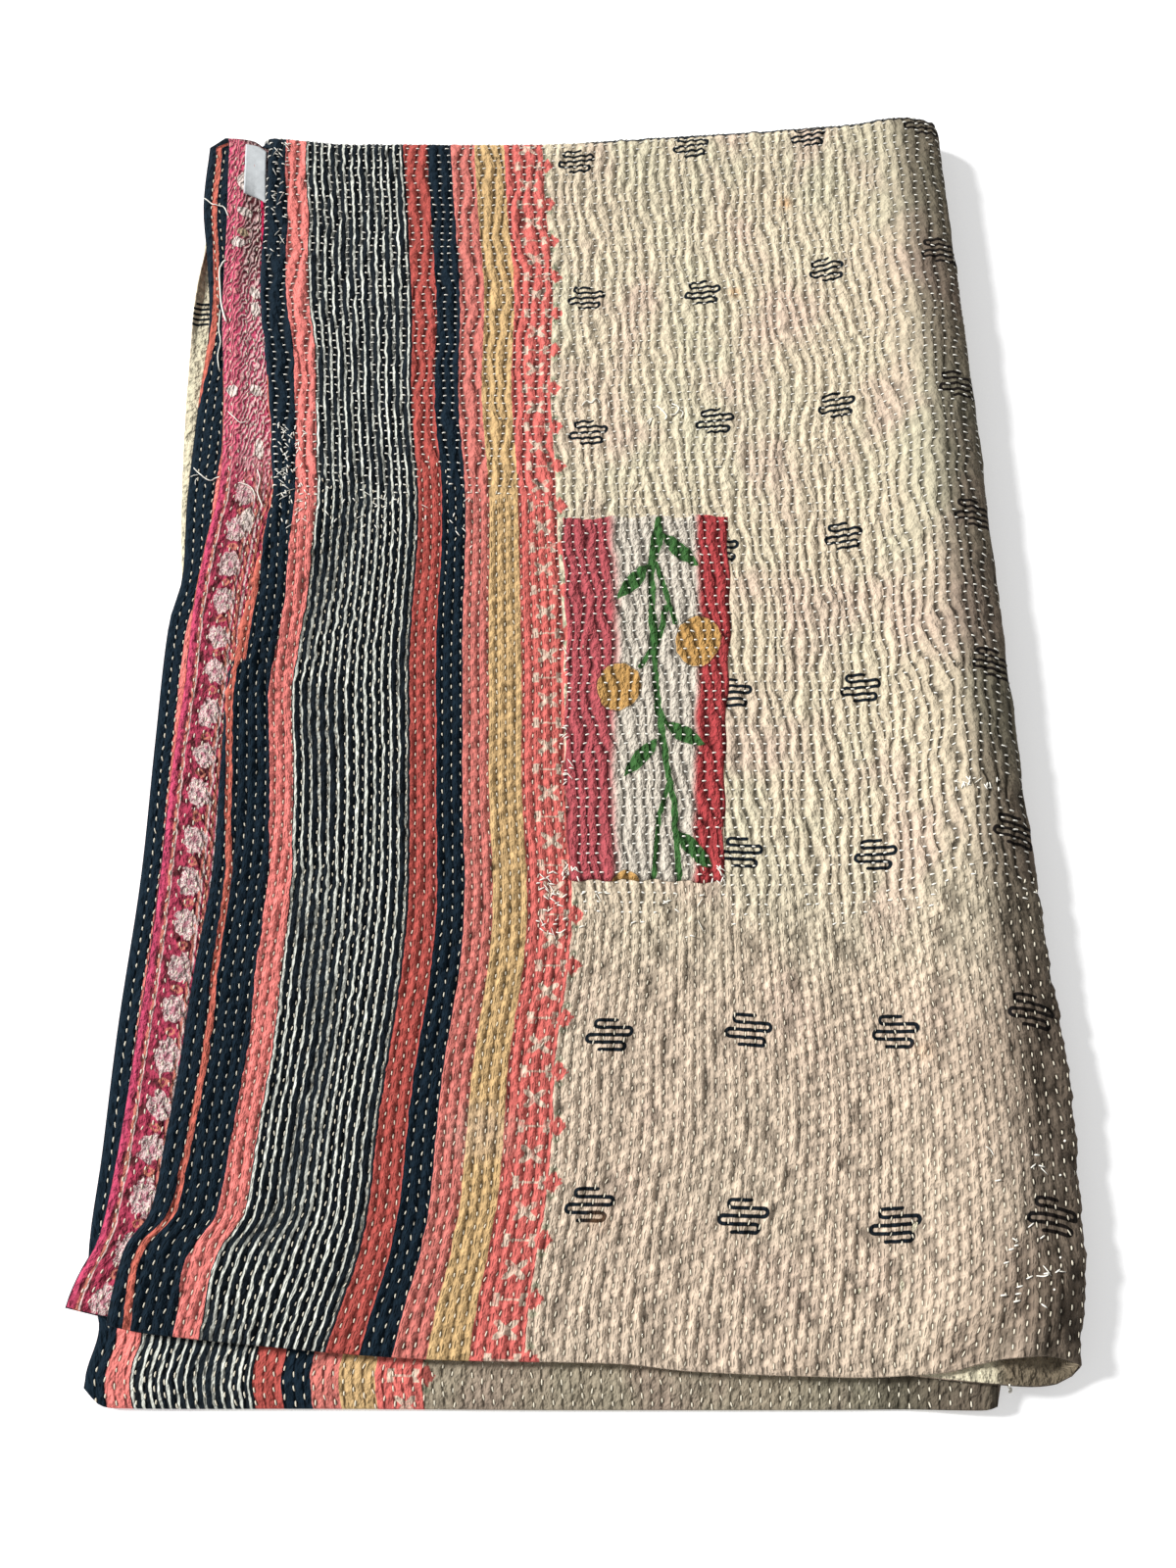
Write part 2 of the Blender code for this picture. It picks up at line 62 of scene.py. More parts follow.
# ---- The solid's sizes, in metres ----
QUILT_WIDTH = 1.3
UPPER_LENGTH = 1.02
FAR_FOLD_LENGTH = 0.04
LOWER_LENGTH = 1.04
QUILT_LENGTH = UPPER_LENGTH + FAR_FOLD_LENGTH + LOWER_LENGTH
CENTRE_SHIFT = (0.0074202, -0.0014855, 0.0)  # from the folds' own middle to the origin

HALF = 0.0015
PAIR_GAP = 0.0016
STACK_GAP = 0.0014
HEM_PINCH = 0.65
HEM_WIDTH = 0.012
FOLD_AT = 0.632
CROWN_WIDTH = 0.015
CROWN_HEIGHT = 0.0065
CROWN_FADE = 0.07
CROWN_ARC = 0.0176
FIRST_ARC = FOLD_AT - CROWN_ARC
SECOND_ARC = FOLD_AT + CROWN_ARC
FAR_RADIUS = 0.0088
FAR_FADE = 0.09
TURN_RADIUS = 0.0026
TURN_LIFT = 0.0046
TURN_FADE = 0.05
ROLL_HEIGHT = 0.0022
ROLL_INSET = 0.0125
ROLL_WIDTH = 0.005
WAVE_HEIGHT = 0.0011
DROOP = 0.0095
DROOP_START = -0.012
DROOP_RUN = 0.057
LIP_DROOP = 0.0036
LIP_RUN = 0.02
RIDGE_WANDER = 0.0015
BORDER_AT = 0.1515
PRINT_AT = 0.273
PATCH_FLAT = (0.125, 0.3075)

# ---- The view: a picture in pixels, and the camera that takes it ----
PICTURE = (1200, 1600)
LENS, SENSOR = 27.0, 36.0
VIEW_FROM = (CENTRE_SHIFT[0], CENTRE_SHIFT[1] - 0.348, 0.886)
VIEW_TURN = (math.radians(90 - 73.7), 0.0, math.radians(-0.94))

# ---- Where the body's grid changes, on the flat cloth ----
FRONT_STRIP_AT, BACK_STRIP_AT = 1.252, 1.24  # the strip that shows beside the second edge
TUCK_AT, FIRST_STRIP_AT = 0.0295, 0.045  # what shows at the near hem and beside the first edge
LONG_FOLD_SPAN = (0.545, 0.72)
FAR_FOLD_SPAN = (0.93, 1.15)
CURVE_REACH = 1.05  # as far along as a table of drifts goes


class Section(NamedTuple):
    """Where the long edges, two woven lines and the right-hand fold lie, at one y."""

    y: float
    first_edge: float
    turned_in: float
    border: float
    print_edge: float
    fold: float
    second_edge: float


class Hem(NamedTuple):
    """Where a near hem lies, at one place across the cloth."""

    across: float
    y: float


class FarLine(NamedTuple):
    """Where the far fold's line lies."""

    x: float
    y: float


class Crease(NamedTuple):
    """A soft ridge of the top layer between two places."""

    x1: float
    y1: float
    x2: float
    y2: float
    height: float
    width: float


UPPER_SECTIONS = (
    Section(-0.5, -0.331, 0.0, -0.184, -0.046, 0.3285, -0.364),
    Section(-0.46, -0.3268, 0.0, -0.1715, -0.041, 0.3365, -0.3596),
    Section(-0.44, -0.3238, 0.0, -0.1645, -0.037, 0.3385, -0.353),
    Section(-0.42, -0.319, 0.0, -0.159, -0.034, 0.3395, -0.343),
    Section(-0.4, -0.305, 0.0, -0.1545, -0.03, 0.3405, -0.3385),
    Section(-0.35, -0.298, 0.0, -0.148, -0.025, 0.343, -0.333),
    Section(-0.3, -0.2925, 0.0, -0.142, -0.0225, 0.343, -0.3292),
    Section(-0.23, -0.287, 0.0, -0.1365, -0.014, 0.3395, -0.324),
    Section(-0.16, -0.28, 0.001, -0.1325, -0.0105, 0.337, -0.3208),
    Section(-0.07, -0.281, 0.004, -0.1335, -0.012, 0.3358, -0.3188),
    Section(0.0, -0.2785, 0.008, -0.1347, -0.0145, 0.3357, -0.3145),
    Section(0.06, -0.268, 0.015, -0.1345, -0.016, 0.3352, -0.313),
    Section(0.12, -0.259, 0.026, -0.1345, -0.018, 0.335, -0.307),
    Section(0.17, -0.2545, 0.031, -0.135, -0.019, 0.3353, -0.3),
    Section(0.25, -0.2618, 0.031, -0.139, -0.0205, 0.3345, -0.3015),
    Section(0.34, -0.272, 0.031, -0.143, -0.0215, 0.333, -0.309),
    Section(0.43, -0.277, 0.031, -0.149, -0.0245, 0.3318, -0.3108),
    Section(0.52, -0.274, 0.031, -0.155, -0.028, 0.33, -0.313),
)
LOWER_SECTIONS = (
    Section(-0.53, -0.315, 0.0, -0.175, -0.055, 0.287, -0.34),
    Section(-0.505, -0.315, 0.0, -0.175, -0.055, 0.288, -0.3436),
    Section(-0.474, -0.315, 0.0, -0.1745, -0.0545, 0.2895, -0.3375),
    Section(-0.434, -0.3155, 0.0, -0.174, -0.054, 0.2915, -0.349),
    Section(-0.36, -0.316, 0.0, -0.173, -0.053, 0.295, -0.3466),
    Section(-0.27, -0.3165, 0.0, -0.171, -0.051, 0.299, -0.3437),
    Section(-0.16, -0.317, 0.0, -0.169, -0.048, 0.304, -0.337),
    Section(-0.05, -0.318, 0.0, -0.167, -0.045, 0.3095, -0.3355),
    Section(0.05, -0.323, 0.0, -0.165, -0.042, 0.315, -0.333),
    Section(0.09, -0.327, 0.0, -0.164, -0.041, 0.317, -0.3255),
    Section(0.16, -0.333, 0.0, -0.163, -0.039, 0.32, -0.327),
    Section(0.26, -0.337, 0.0, -0.162, -0.037, 0.324, -0.3245),
    Section(0.33, -0.3385, 0.004, -0.161, -0.035, 0.3265, -0.3205),
    Section(0.4, -0.3365, 0.008, -0.16, -0.033, 0.328, -0.3265),
    Section(0.45, -0.331, 0.013, -0.159, -0.031, 0.329, -0.3335),
    Section(0.48, -0.313, 0.021, -0.158, -0.03, 0.3295, -0.3345),
    Section(0.52, -0.287, 0.031, -0.156, -0.029, 0.33, -0.333),
)
UPPER_HEM = (
    Hem(0.0, -0.4705), Hem(0.03, -0.4765), Hem(0.15, -0.4895), Hem(0.22, -0.4955), Hem(0.335, -0.5002),
    Hem(0.38, -0.5055), Hem(0.48, -0.511), Hem(0.515, -0.5105), Hem(0.545, -0.508), Hem(0.565, -0.5025),
    Hem(0.585, -0.498), Hem(0.608, -0.4985), Hem(0.632, -0.5075), Hem(0.65, -0.518), Hem(0.69, -0.5165),
    Hem(0.8, -0.506), Hem(1.0, -0.49), Hem(1.2, -0.472), Hem(1.27, -0.4665), Hem(1.3, -0.46),
)
LOWER_HEM = (
    Hem(0.0, -0.512), Hem(0.61, -0.512), Hem(0.632, -0.518), Hem(0.645, -0.529), Hem(0.66, -0.5335),
    Hem(0.93, -0.5308), Hem(1.13, -0.5268), Hem(1.28, -0.524), Hem(1.292, -0.5215), Hem(1.3, -0.512),
)
FAR_LINE = (
    FarLine(-0.345, 0.531), FarLine(-0.315, 0.524), FarLine(-0.287, 0.519), FarLine(-0.272, 0.509),
    FarLine(-0.16, 0.5056), FarLine(-0.02, 0.5035), FarLine(0.05, 0.5076), FarLine(0.16, 0.514),
    FarLine(0.28, 0.5215), FarLine(0.325, 0.515), FarLine(0.345, 0.511),
)
CREASES = (
    Crease(0.286, -0.5, 0.33, -0.44, 0.0035, 0.011),
    Crease(0.2, -0.5, 0.262, -0.47, 0.0016, 0.02),
    Crease(-0.33, -0.455, -0.18, -0.4, 0.0014, 0.022),
    Crease(-0.235, 0.12, 0.1, 0.16, 0.0013, 0.024),
    Crease(0.08, -0.19, 0.33, -0.15, 0.0014, 0.024),
    Crease(-0.2, 0.33, -0.12, -0.3, 0.0012, 0.02),
)


def ease(value: np.ndarray) -> np.ndarray:
    """Goes from 0 to 1 and is level at both ends."""
    held = np.clip(value, 0.0, 1.0)
    return held * held * (3 - 2 * held)


def bell(value: np.ndarray) -> np.ndarray:
    """1 at 0, and falls away smoothly past 1."""
    return np.exp(-np.square(value))


def swell(across: np.ndarray, along: np.ndarray, wide: float, long: float, seed: int) -> np.ndarray:
    """Soft, uneven hills between about -1 and 1.

    Args:
        across: places across the cloth.
        along: places along the cloth.
        wide: how wide a hill is.
        long: how long a hill is.
        seed: picks other hills.

    Returns:
        The height at each place.
    """
    dice = np.random.default_rng(seed)
    total = np.zeros(np.broadcast(across, along).shape)
    for _ in range(7):
        turn, start, size = dice.uniform(0, math.tau), dice.uniform(0, math.tau), dice.uniform(0.7, 1.5)
        waves = math.cos(turn) * across / (wide * size * 2) + math.sin(turn) * along / (long * size * 2)
        total = total + np.sin(math.tau * waves + start)
    return total / 2.6


class Curve:
    """A smooth curve through the points of a short table."""

    def __init__(self, keys: Sequence[float], values: Sequence[float]) -> None:
        """Takes the table's two columns."""
        self.keys, self.values = np.array(keys, float), np.array(values, float)
        rows = np.arange(len(keys))
        low, high = np.maximum(rows - 1, 0), np.minimum(rows + 1, len(keys) - 1)
        self.slopes = (self.values[high] - self.values[low]) / (self.keys[high] - self.keys[low])

    def at(self, place: np.ndarray) -> np.ndarray:
        """The curve's value at each place."""
        held = np.clip(place, self.keys[0], self.keys[-1])
        before = np.clip(np.searchsorted(self.keys, held, side="right") - 1, 0, len(self.keys) - 2)
        span = self.keys[before + 1] - self.keys[before]
        part = (held - self.keys[before]) / span
        rise = (self.values[before + 1] - self.values[before]) * ease(part)
        lean_in = part * (1 - part) ** 2 * self.slopes[before] * span
        lean_out = part * part * (part - 1) * self.slopes[before + 1] * span
        return self.values[before] + rise + lean_in + lean_out


class Folds:
    """The two folds, which carry a place on the flat cloth to where it lies."""

    def __init__(self) -> None:
        """Makes the curves of the tables above."""
        names = Section._fields[1:]
        self.upper, self.lower = (
            {name: Curve([row.y for row in rows], [getattr(row, name) for row in rows]) for name in names}
            for rows in (UPPER_SECTIONS, LOWER_SECTIONS)
        )
        self.upper_hem = Curve(*zip(*UPPER_HEM))
        self.lower_hem = Curve(*zip(*LOWER_HEM))
        self.far_line = Curve(*zip(*FAR_LINE))

    @staticmethod
    def section(curves: Mapping[str, Curve], y: np.ndarray) -> Section:
        """The section of the upper or the lower layers at each y."""
        return Section(y, *(curve.at(y) for curve in curves.values()))

    @staticmethod
    def turn_start(section: Section) -> np.ndarray:
        """Where the first edge's curl begins."""
        reach = np.sin(np.minimum(math.pi / 2, section.turned_in / TURN_RADIUS))
        return section.first_edge + (TURN_RADIUS + HALF) * reach

    def flat_x(self, section: Section, across: np.ndarray) -> np.ndarray:
        """Where a place on the cloth lies from left to right, before the fold's shoulder."""
        shoulder, start = section.fold - CROWN_WIDTH, self.turn_start(section)
        to_border = (across - section.turned_in) / (BORDER_AT - section.turned_in)
        to_print = (across - BORDER_AT) / (PRINT_AT - BORDER_AT)
        to_fold = (across - PRINT_AT) / (FIRST_ARC - PRINT_AT)
        to_edge = (across - SECOND_ARC) / (QUILT_WIDTH - SECOND_ARC)
        return np.select(
            [across <= BORDER_AT, across <= PRINT_AT, across <= FIRST_ARC],
            [
                start + to_border * (section.border - start),
                section.border + to_print * (section.print_edge - section.border),
                section.print_edge + to_fold * (shoulder - section.print_edge),
            ],
            shoulder + to_edge * (section.second_edge - shoulder),
        )

    @staticmethod
    def spread(section: Section, x: np.ndarray) -> np.ndarray:
        """Half the distance between the two layers of a pair."""
        closed = HALF + PAIR_GAP / 2
        crown = (CROWN_HEIGHT - closed) * (1 - ease((section.fold - CROWN_WIDTH - x) / CROWN_FADE))
        turned = np.minimum(1.0, section.turned_in / (math.pi * TURN_RADIUS))
        past = x - section.first_edge - section.turned_in
        flap = (TURN_LIFT - closed) * turned * (1 - ease(past / TURN_FADE))
        return closed + crown + flap

    def across_the_pair(
        self, section: Section, across: np.ndarray, offset: np.ndarray
    ) -> tuple[np.ndarray, np.ndarray]:
        """The first fold, along the quilt's length.

        Args:
            section: the edges and the fold at each place's y.
            across: places from the first edge.
            offset: how far each place is from the middle of the cloth.

        Returns:
            x, and the height above the middle of the pair.
        """
        angle = np.clip((FOLD_AT - across) / CROWN_ARC, -1, 1) * math.pi / 2
        lean_x, lean_z = np.cos(angle) / CROWN_WIDTH, np.sin(angle) / CROWN_HEIGHT
        size = np.hypot(lean_x, lean_z)
        crown_x = section.fold - CROWN_WIDTH + CROWN_WIDTH * np.cos(angle) + offset * lean_x / size
        crown_z = CROWN_HEIGHT * np.sin(angle) + offset * lean_z / size
        x = self.flat_x(section, across)
        z = np.where(across < FOLD_AT, 1, -1) * (self.spread(section, x) + offset)
        curled = section.turned_in - across
        start = self.turn_start(section)
        turn = np.clip(curled / TURN_RADIUS, 0, math.pi)
        back = np.maximum(0.0, curled - math.pi * TURN_RADIUS)
        radius = TURN_RADIUS + offset
        curl_x = start + back - radius * np.sin(turn)
        curl_z = self.spread(section, start) - TURN_RADIUS + radius * np.cos(turn)
        in_crown = (across > FIRST_ARC) & (across < SECOND_ARC)
        in_curl = curled > 0
        return (
            np.select([in_crown, in_curl], [crown_x, curl_x], x),
            np.select([in_crown, in_curl], [crown_z, curl_z], z),
        )

    @staticmethod
    def lift(x: np.ndarray, y: np.ndarray) -> np.ndarray:
        """How far the top layer rises off the one under it."""
        hills = 1 + 0.6 * np.sin(9.0 * x + 5.5 * y + 0.4) + 0.4 * np.sin(13.0 * x - 11.0 * y + 2.0)
        total = WAVE_HEIGHT * hills
        for crease in CREASES:
            run_x, run_y = crease.x2 - crease.x1, crease.y2 - crease.y1
            length = math.hypot(run_x, run_y)
            along = ((x - crease.x1) * run_x + (y - crease.y1) * run_y) / length
            beside = ((x - crease.x1) * run_y - (y - crease.y1) * run_x) / length
            past = np.maximum(0.0, np.maximum(-along, along - length))
            total = total + crease.height * bell(np.hypot(beside, past) / crease.width)
        return total

    def place(self, across: np.ndarray, along: np.ndarray, offset: np.ndarray) -> np.ndarray:
        """Both folds.

        Args:
            across: places from the first edge.
            along: places from the top layer's near hem.
            offset: how far each place is from the middle of the cloth.

        Returns:
            The points, with x, y and z on the last axis.
        """
        across, along, offset = np.broadcast_arrays(*(np.asarray(a, float) for a in (across, along, offset)))
        first_half = across < FOLD_AT
        far_section = self.section(self.upper, np.full(across.shape, UPPER_SECTIONS[-1].y))
        far_y = self.far_line.at(self.across_the_pair(far_section, across, np.zeros(across.shape))[0])
        turn = np.clip((along - UPPER_LENGTH) / FAR_FOLD_LENGTH, 0, 1)
        upper, lower = turn <= 0, turn >= 1
        upper_y, lower_y = self.upper_hem.at(across), self.lower_hem.at(across)
        y = np.where(upper, upper_y + along / UPPER_LENGTH * (far_y - upper_y), far_y)
        past = (along - UPPER_LENGTH - FAR_FOLD_LENGTH) / LOWER_LENGTH
        y = np.where(lower, far_y + past * (lower_y - far_y), y)
        above, below = self.section(self.upper, y), self.section(self.lower, y)
        section = Section(*(a + (b - a) * ease(turn) for a, b in zip(above, below)))
        x, height = self.across_the_pair(section, across, offset)
        under, over = self.spread(below, x), self.spread(above, x)
        closed_radius = (under + over) / 2 + HALF + STACK_GAP / 2
        straight = ease((far_y - y) / FAR_FADE)
        radius = closed_radius + np.maximum(0.0, FAR_RADIUS - closed_radius) * (1 - straight)
        middle = under + HALF + radius
        carried_to = self.lower["fold"].at(y) + DROOP_START
        lip = np.where(first_half, 0.0, LIP_DROOP * ease((LOWER_HEM[0].y - y) / LIP_RUN))
        sunk = np.where(upper, DROOP * ease((x - carried_to) / DROOP_RUN), lip) * straight
        top = upper & first_half
        lifted = np.where(top, self.lift(x, y) * straight, 0.0)
        wander = RIDGE_WANDER * (
            np.sin(math.tau * along / 0.31 + 9.0 * across)
            + 0.6 * np.sin(math.tau * along / 0.19 - 14.0 * across + 1.3)
        )
        held = straight * ease(across / 0.05) * ease((FIRST_ARC - across) / 0.05)
        x = x + np.where(upper, wander * held, 0.0)
        angle = turn * math.pi
        reach = radius + height
        z = np.where(lower, middle - radius - height, middle + reach * np.cos(angle)) + lifted - sunk
        y = y + np.where(upper | lower, 0.0, reach * np.sin(angle))
        return np.stack([x, y, z], -1) + np.array(CENTRE_SHIFT)


# ---- The rows of stitch and what they do to the cloth ----
ROW_PITCH = 0.0071
DASH_PITCH = 0.00945
CROSS_PITCH = 0.0074
FINE_STEP = ROW_PITCH / 3
STRIPES_END = 0.67  # where the lengthwise dashes end, in the striped border
CREAM_END = 0.32  # and in the pale field


@dataclass(frozen=True)
class Quilting:
    """The rows of running stitch, which leave one ridge between each two rows."""

    rope_in_stripes: float = 0.0089
    rope_in_cream: float = 0.0093
    overlap: float = 0.03
    ridge_height: float = 0.0018
    rope_height_stripes: float = 0.002
    rope_height_cream: float = 0.0021
    forks: int = 34
    seed: int = 11

    def crossed(self, across: np.ndarray, along: np.ndarray) -> np.ndarray:
        """1 where the stitches lie crosswise, 0 where they lie lengthwise."""
        border = STRIPES_END + (CREAM_END - STRIPES_END) * ease((across - 0.262) / 0.016)
        border = border + 0.012 * swell(across, along, 0.03, 0.4, 4)
        return ease((along - border) / self.overlap + 0.5)

    def ropes(self, across: np.ndarray, along: np.ndarray) -> np.ndarray:
        """Counts the ridges from the first edge, and a few of them fork or join."""
        total = np.where(
            across < PRINT_AT,
            across / self.rope_in_stripes,
            PRINT_AT / self.rope_in_stripes + (across - PRINT_AT) / self.rope_in_cream,
        )
        total = total + 0.22 * swell(across, along, 0.03, 0.05, 5)
        total = total + 0.17 * swell(across, along, 0.01, 0.016, 6)
        dice = np.random.default_rng(self.seed)
        for number in range(self.forks):
            at = (dice.uniform(0.03, 0.6), dice.uniform(0.36, 1.0))
            side = 1 if number % 2 else -1
            total = total + side * np.arctan2(along - at[1], across - at[0]) / math.tau
        return total

    def dash_start(self, row: np.ndarray) -> np.ndarray:
        """How far each row's dashes are shifted, in dashes, so that the puckers drift aslant."""
        walk = np.cumsum(np.random.default_rng(self.seed + 1).normal(0.36, 0.13, 120))
        return walk[np.clip(np.asarray(row), 0, 119).astype(int)]

    def relief(self, across: np.ndarray, along: np.ndarray) -> np.ndarray:
        """How far the top layer's face stands above or below its mean.

        Args:
            across: places from the first edge.
            along: places from the near hem.

        Returns:
            The height at each place.
        """
        across, along = np.broadcast_arrays(across, along)
        row = across / ROW_PITCH + 1e-6
        before = np.floor(row)
        part = row - before
        lumps = [np.cos(math.tau * (along / DASH_PITCH - self.dash_start(before + step))) for step in (0, 1)]
        lump = lumps[0] * (1 - part) + lumps[1] * part
        ridge = np.abs(np.sin(math.pi * row)) ** 0.8
        puckers = 0.38 * swell(across, along, 0.0055, 0.007, 1)
        puckers = puckers + 0.26 * swell(across, along, 0.009, 0.018, 2)
        in_cream = ease((across - 0.27) / 0.03)
        aslant = swell(across * 0.8 + along * 0.6, along * 0.8 - across * 0.6, 0.0065, 0.03, 9)
        puckers = puckers + in_cream * (0.34 * aslant + 0.45 * swell(across, along, 0.013, 0.017, 10))
        even = 1 - 0.25 * in_cream
        dashes = self.ridge_height * (ridge * even * (1 - 0.5 * lump) + puckers * (0.4 + 0.6 * ridge) - 0.5)
        rise = (0.5 - 0.5 * np.cos(math.tau * self.ropes(across, along))) ** 0.8
        tall = self.rope_height_stripes + (self.rope_height_cream - self.rope_height_stripes) * ease(
            (across - 0.25) / 0.04
        )
        waist = 0.1 * np.cos(math.tau * along / CROSS_PITCH) + 0.24 * swell(across, along, 0.01, 0.013, 3)
        ropes = tall * (rise * (1 + waist) - 0.52)
        share = self.crossed(across, along)
        height = dashes * (1 - share) + ropes * share
        from_hem = np.minimum(across + 0.002, along + 0.002) / 0.008
        height = height * ease(from_hem) * ease((FOLD_AT + 0.01 - across) / 0.02)
        return height * ease((1.045 - along) / 0.03)


class Way(Enum):
    """Which way a stitch lies on the cloth."""

    ALONG = "along"
    ACROSS = "across"


class Side(Enum):
    """Which face of the cloth: the front or the back."""

    FRONT = 1
    BACK = -1


# ---- Mesh and material helpers ----
def make_piece(
    name: str, points: np.ndarray, faces: Sequence[Sequence[int]], smooth: bool = True
) -> bpy.types.Object:
    """Makes a mesh object at the origin.

    Args:
        name: the piece's name.
        points: one row for each vertex.
        faces: each face's vertices.
        smooth: whether it is shaded smooth.

    Returns:
        The new object.
    """
    data = bpy.data.meshes.new(name)
    data.from_pydata(points.reshape(-1, 3).tolist(), [], faces)
    data.update()
    data.polygons.foreach_set("use_smooth", [smooth] * len(data.polygons))
    thing = bpy.data.objects.new(name, data)
    bpy.context.scene.collection.objects.link(thing)
    return thing


def corner_vertices(data: bpy.types.Mesh) -> np.ndarray:
    """Each face corner's vertex."""
    found = np.zeros(len(data.loops), np.int32)
    data.loops.foreach_get("vertex_index", found)
    return found


def add_map(data: bpy.types.Mesh, name: str, places: np.ndarray) -> None:
    """Adds a UV map with one place for each face corner."""
    layer = data.uv_layers.new(name=name, do_init=False)
    layer.data.foreach_set("uv", places.astype(np.float32).ravel())


def tone(red: float, green: float, blue: float) -> tuple[float, float, float, float]:
    """A screen colour, 0 to 255, as the renderer's own numbers."""
    parts = [c / 255 for c in (red, green, blue)]
    linear = [c / 12.92 if c <= 0.04045 else ((c + 0.055) / 1.055) ** 2.4 for c in parts]
    return (*linear, 1.0)


class Value:
    """A number on the surface, as a socket whose operators add Math nodes."""

    def __init__(self, mill: Mill, socket: bpy.types.NodeSocket) -> None:
        """Wraps one socket."""
        self.mill, self.socket = mill, socket

    def math(self, operation: str, *others: Value | float) -> Value:
        """One Math node on this number and up to two more."""
        return self.mill.add("ShaderNodeMath", {"operation": operation}, dict(enumerate((self, *others))))

    def __add__(self, other: Value | float) -> Value:
        """Sum."""
        return self.math("ADD", other)

    __radd__ = __add__

    def __mul__(self, other: Value | float) -> Value:
        """Product."""
        return self.math("MULTIPLY", other)

    __rmul__ = __mul__

    def __sub__(self, other: Value | float) -> Value:
        """Difference."""
        return self.math("SUBTRACT", other)

    def __rsub__(self, other: float) -> Value:
        """Difference from a plain number."""
        return self.mill.add("ShaderNodeMath", {"operation": "SUBTRACT"}, {0: other, 1: self})

    def __truediv__(self, other: Value | float) -> Value:
        """Quotient."""
        return self.math("DIVIDE", other)

    def __abs__(self) -> Value:
        """Size without sign."""
        return self.math("ABSOLUTE")

    def fract(self) -> Value:
        """What is past the whole number."""
        return self.math("FRACT")

    def floor(self) -> Value:
        """The whole number below."""
        return self.math("FLOOR")

    def least(self, other: Value | float) -> Value:
        """The smaller of two."""
        return self.math("MINIMUM", other)

    def most(self, other: Value | float) -> Value:
        """The larger of two."""
        return self.math("MAXIMUM", other)

    def power(self, exponent: float) -> Value:
        """Power."""
        return self.math("POWER", exponent)

    def ramp(self, low: float, high: float) -> Value:
        """0 at low, 1 at high, smooth between, also where high is below low."""
        if high < low:
            return 1 - self.ramp(high, low)
        return self.mill.add(
            "ShaderNodeMapRange",
            {"interpolation_type": "SMOOTHSTEP"},
            {0: self, 1: low, 2: high, 3: 0.0, 4: 1.0},
        )

    def within(self, low: float, high: float, soft: float) -> Value:
        """1 between two values, with soft edges."""
        return self.ramp(low - soft, low + soft) * self.ramp(high + soft, high - soft)


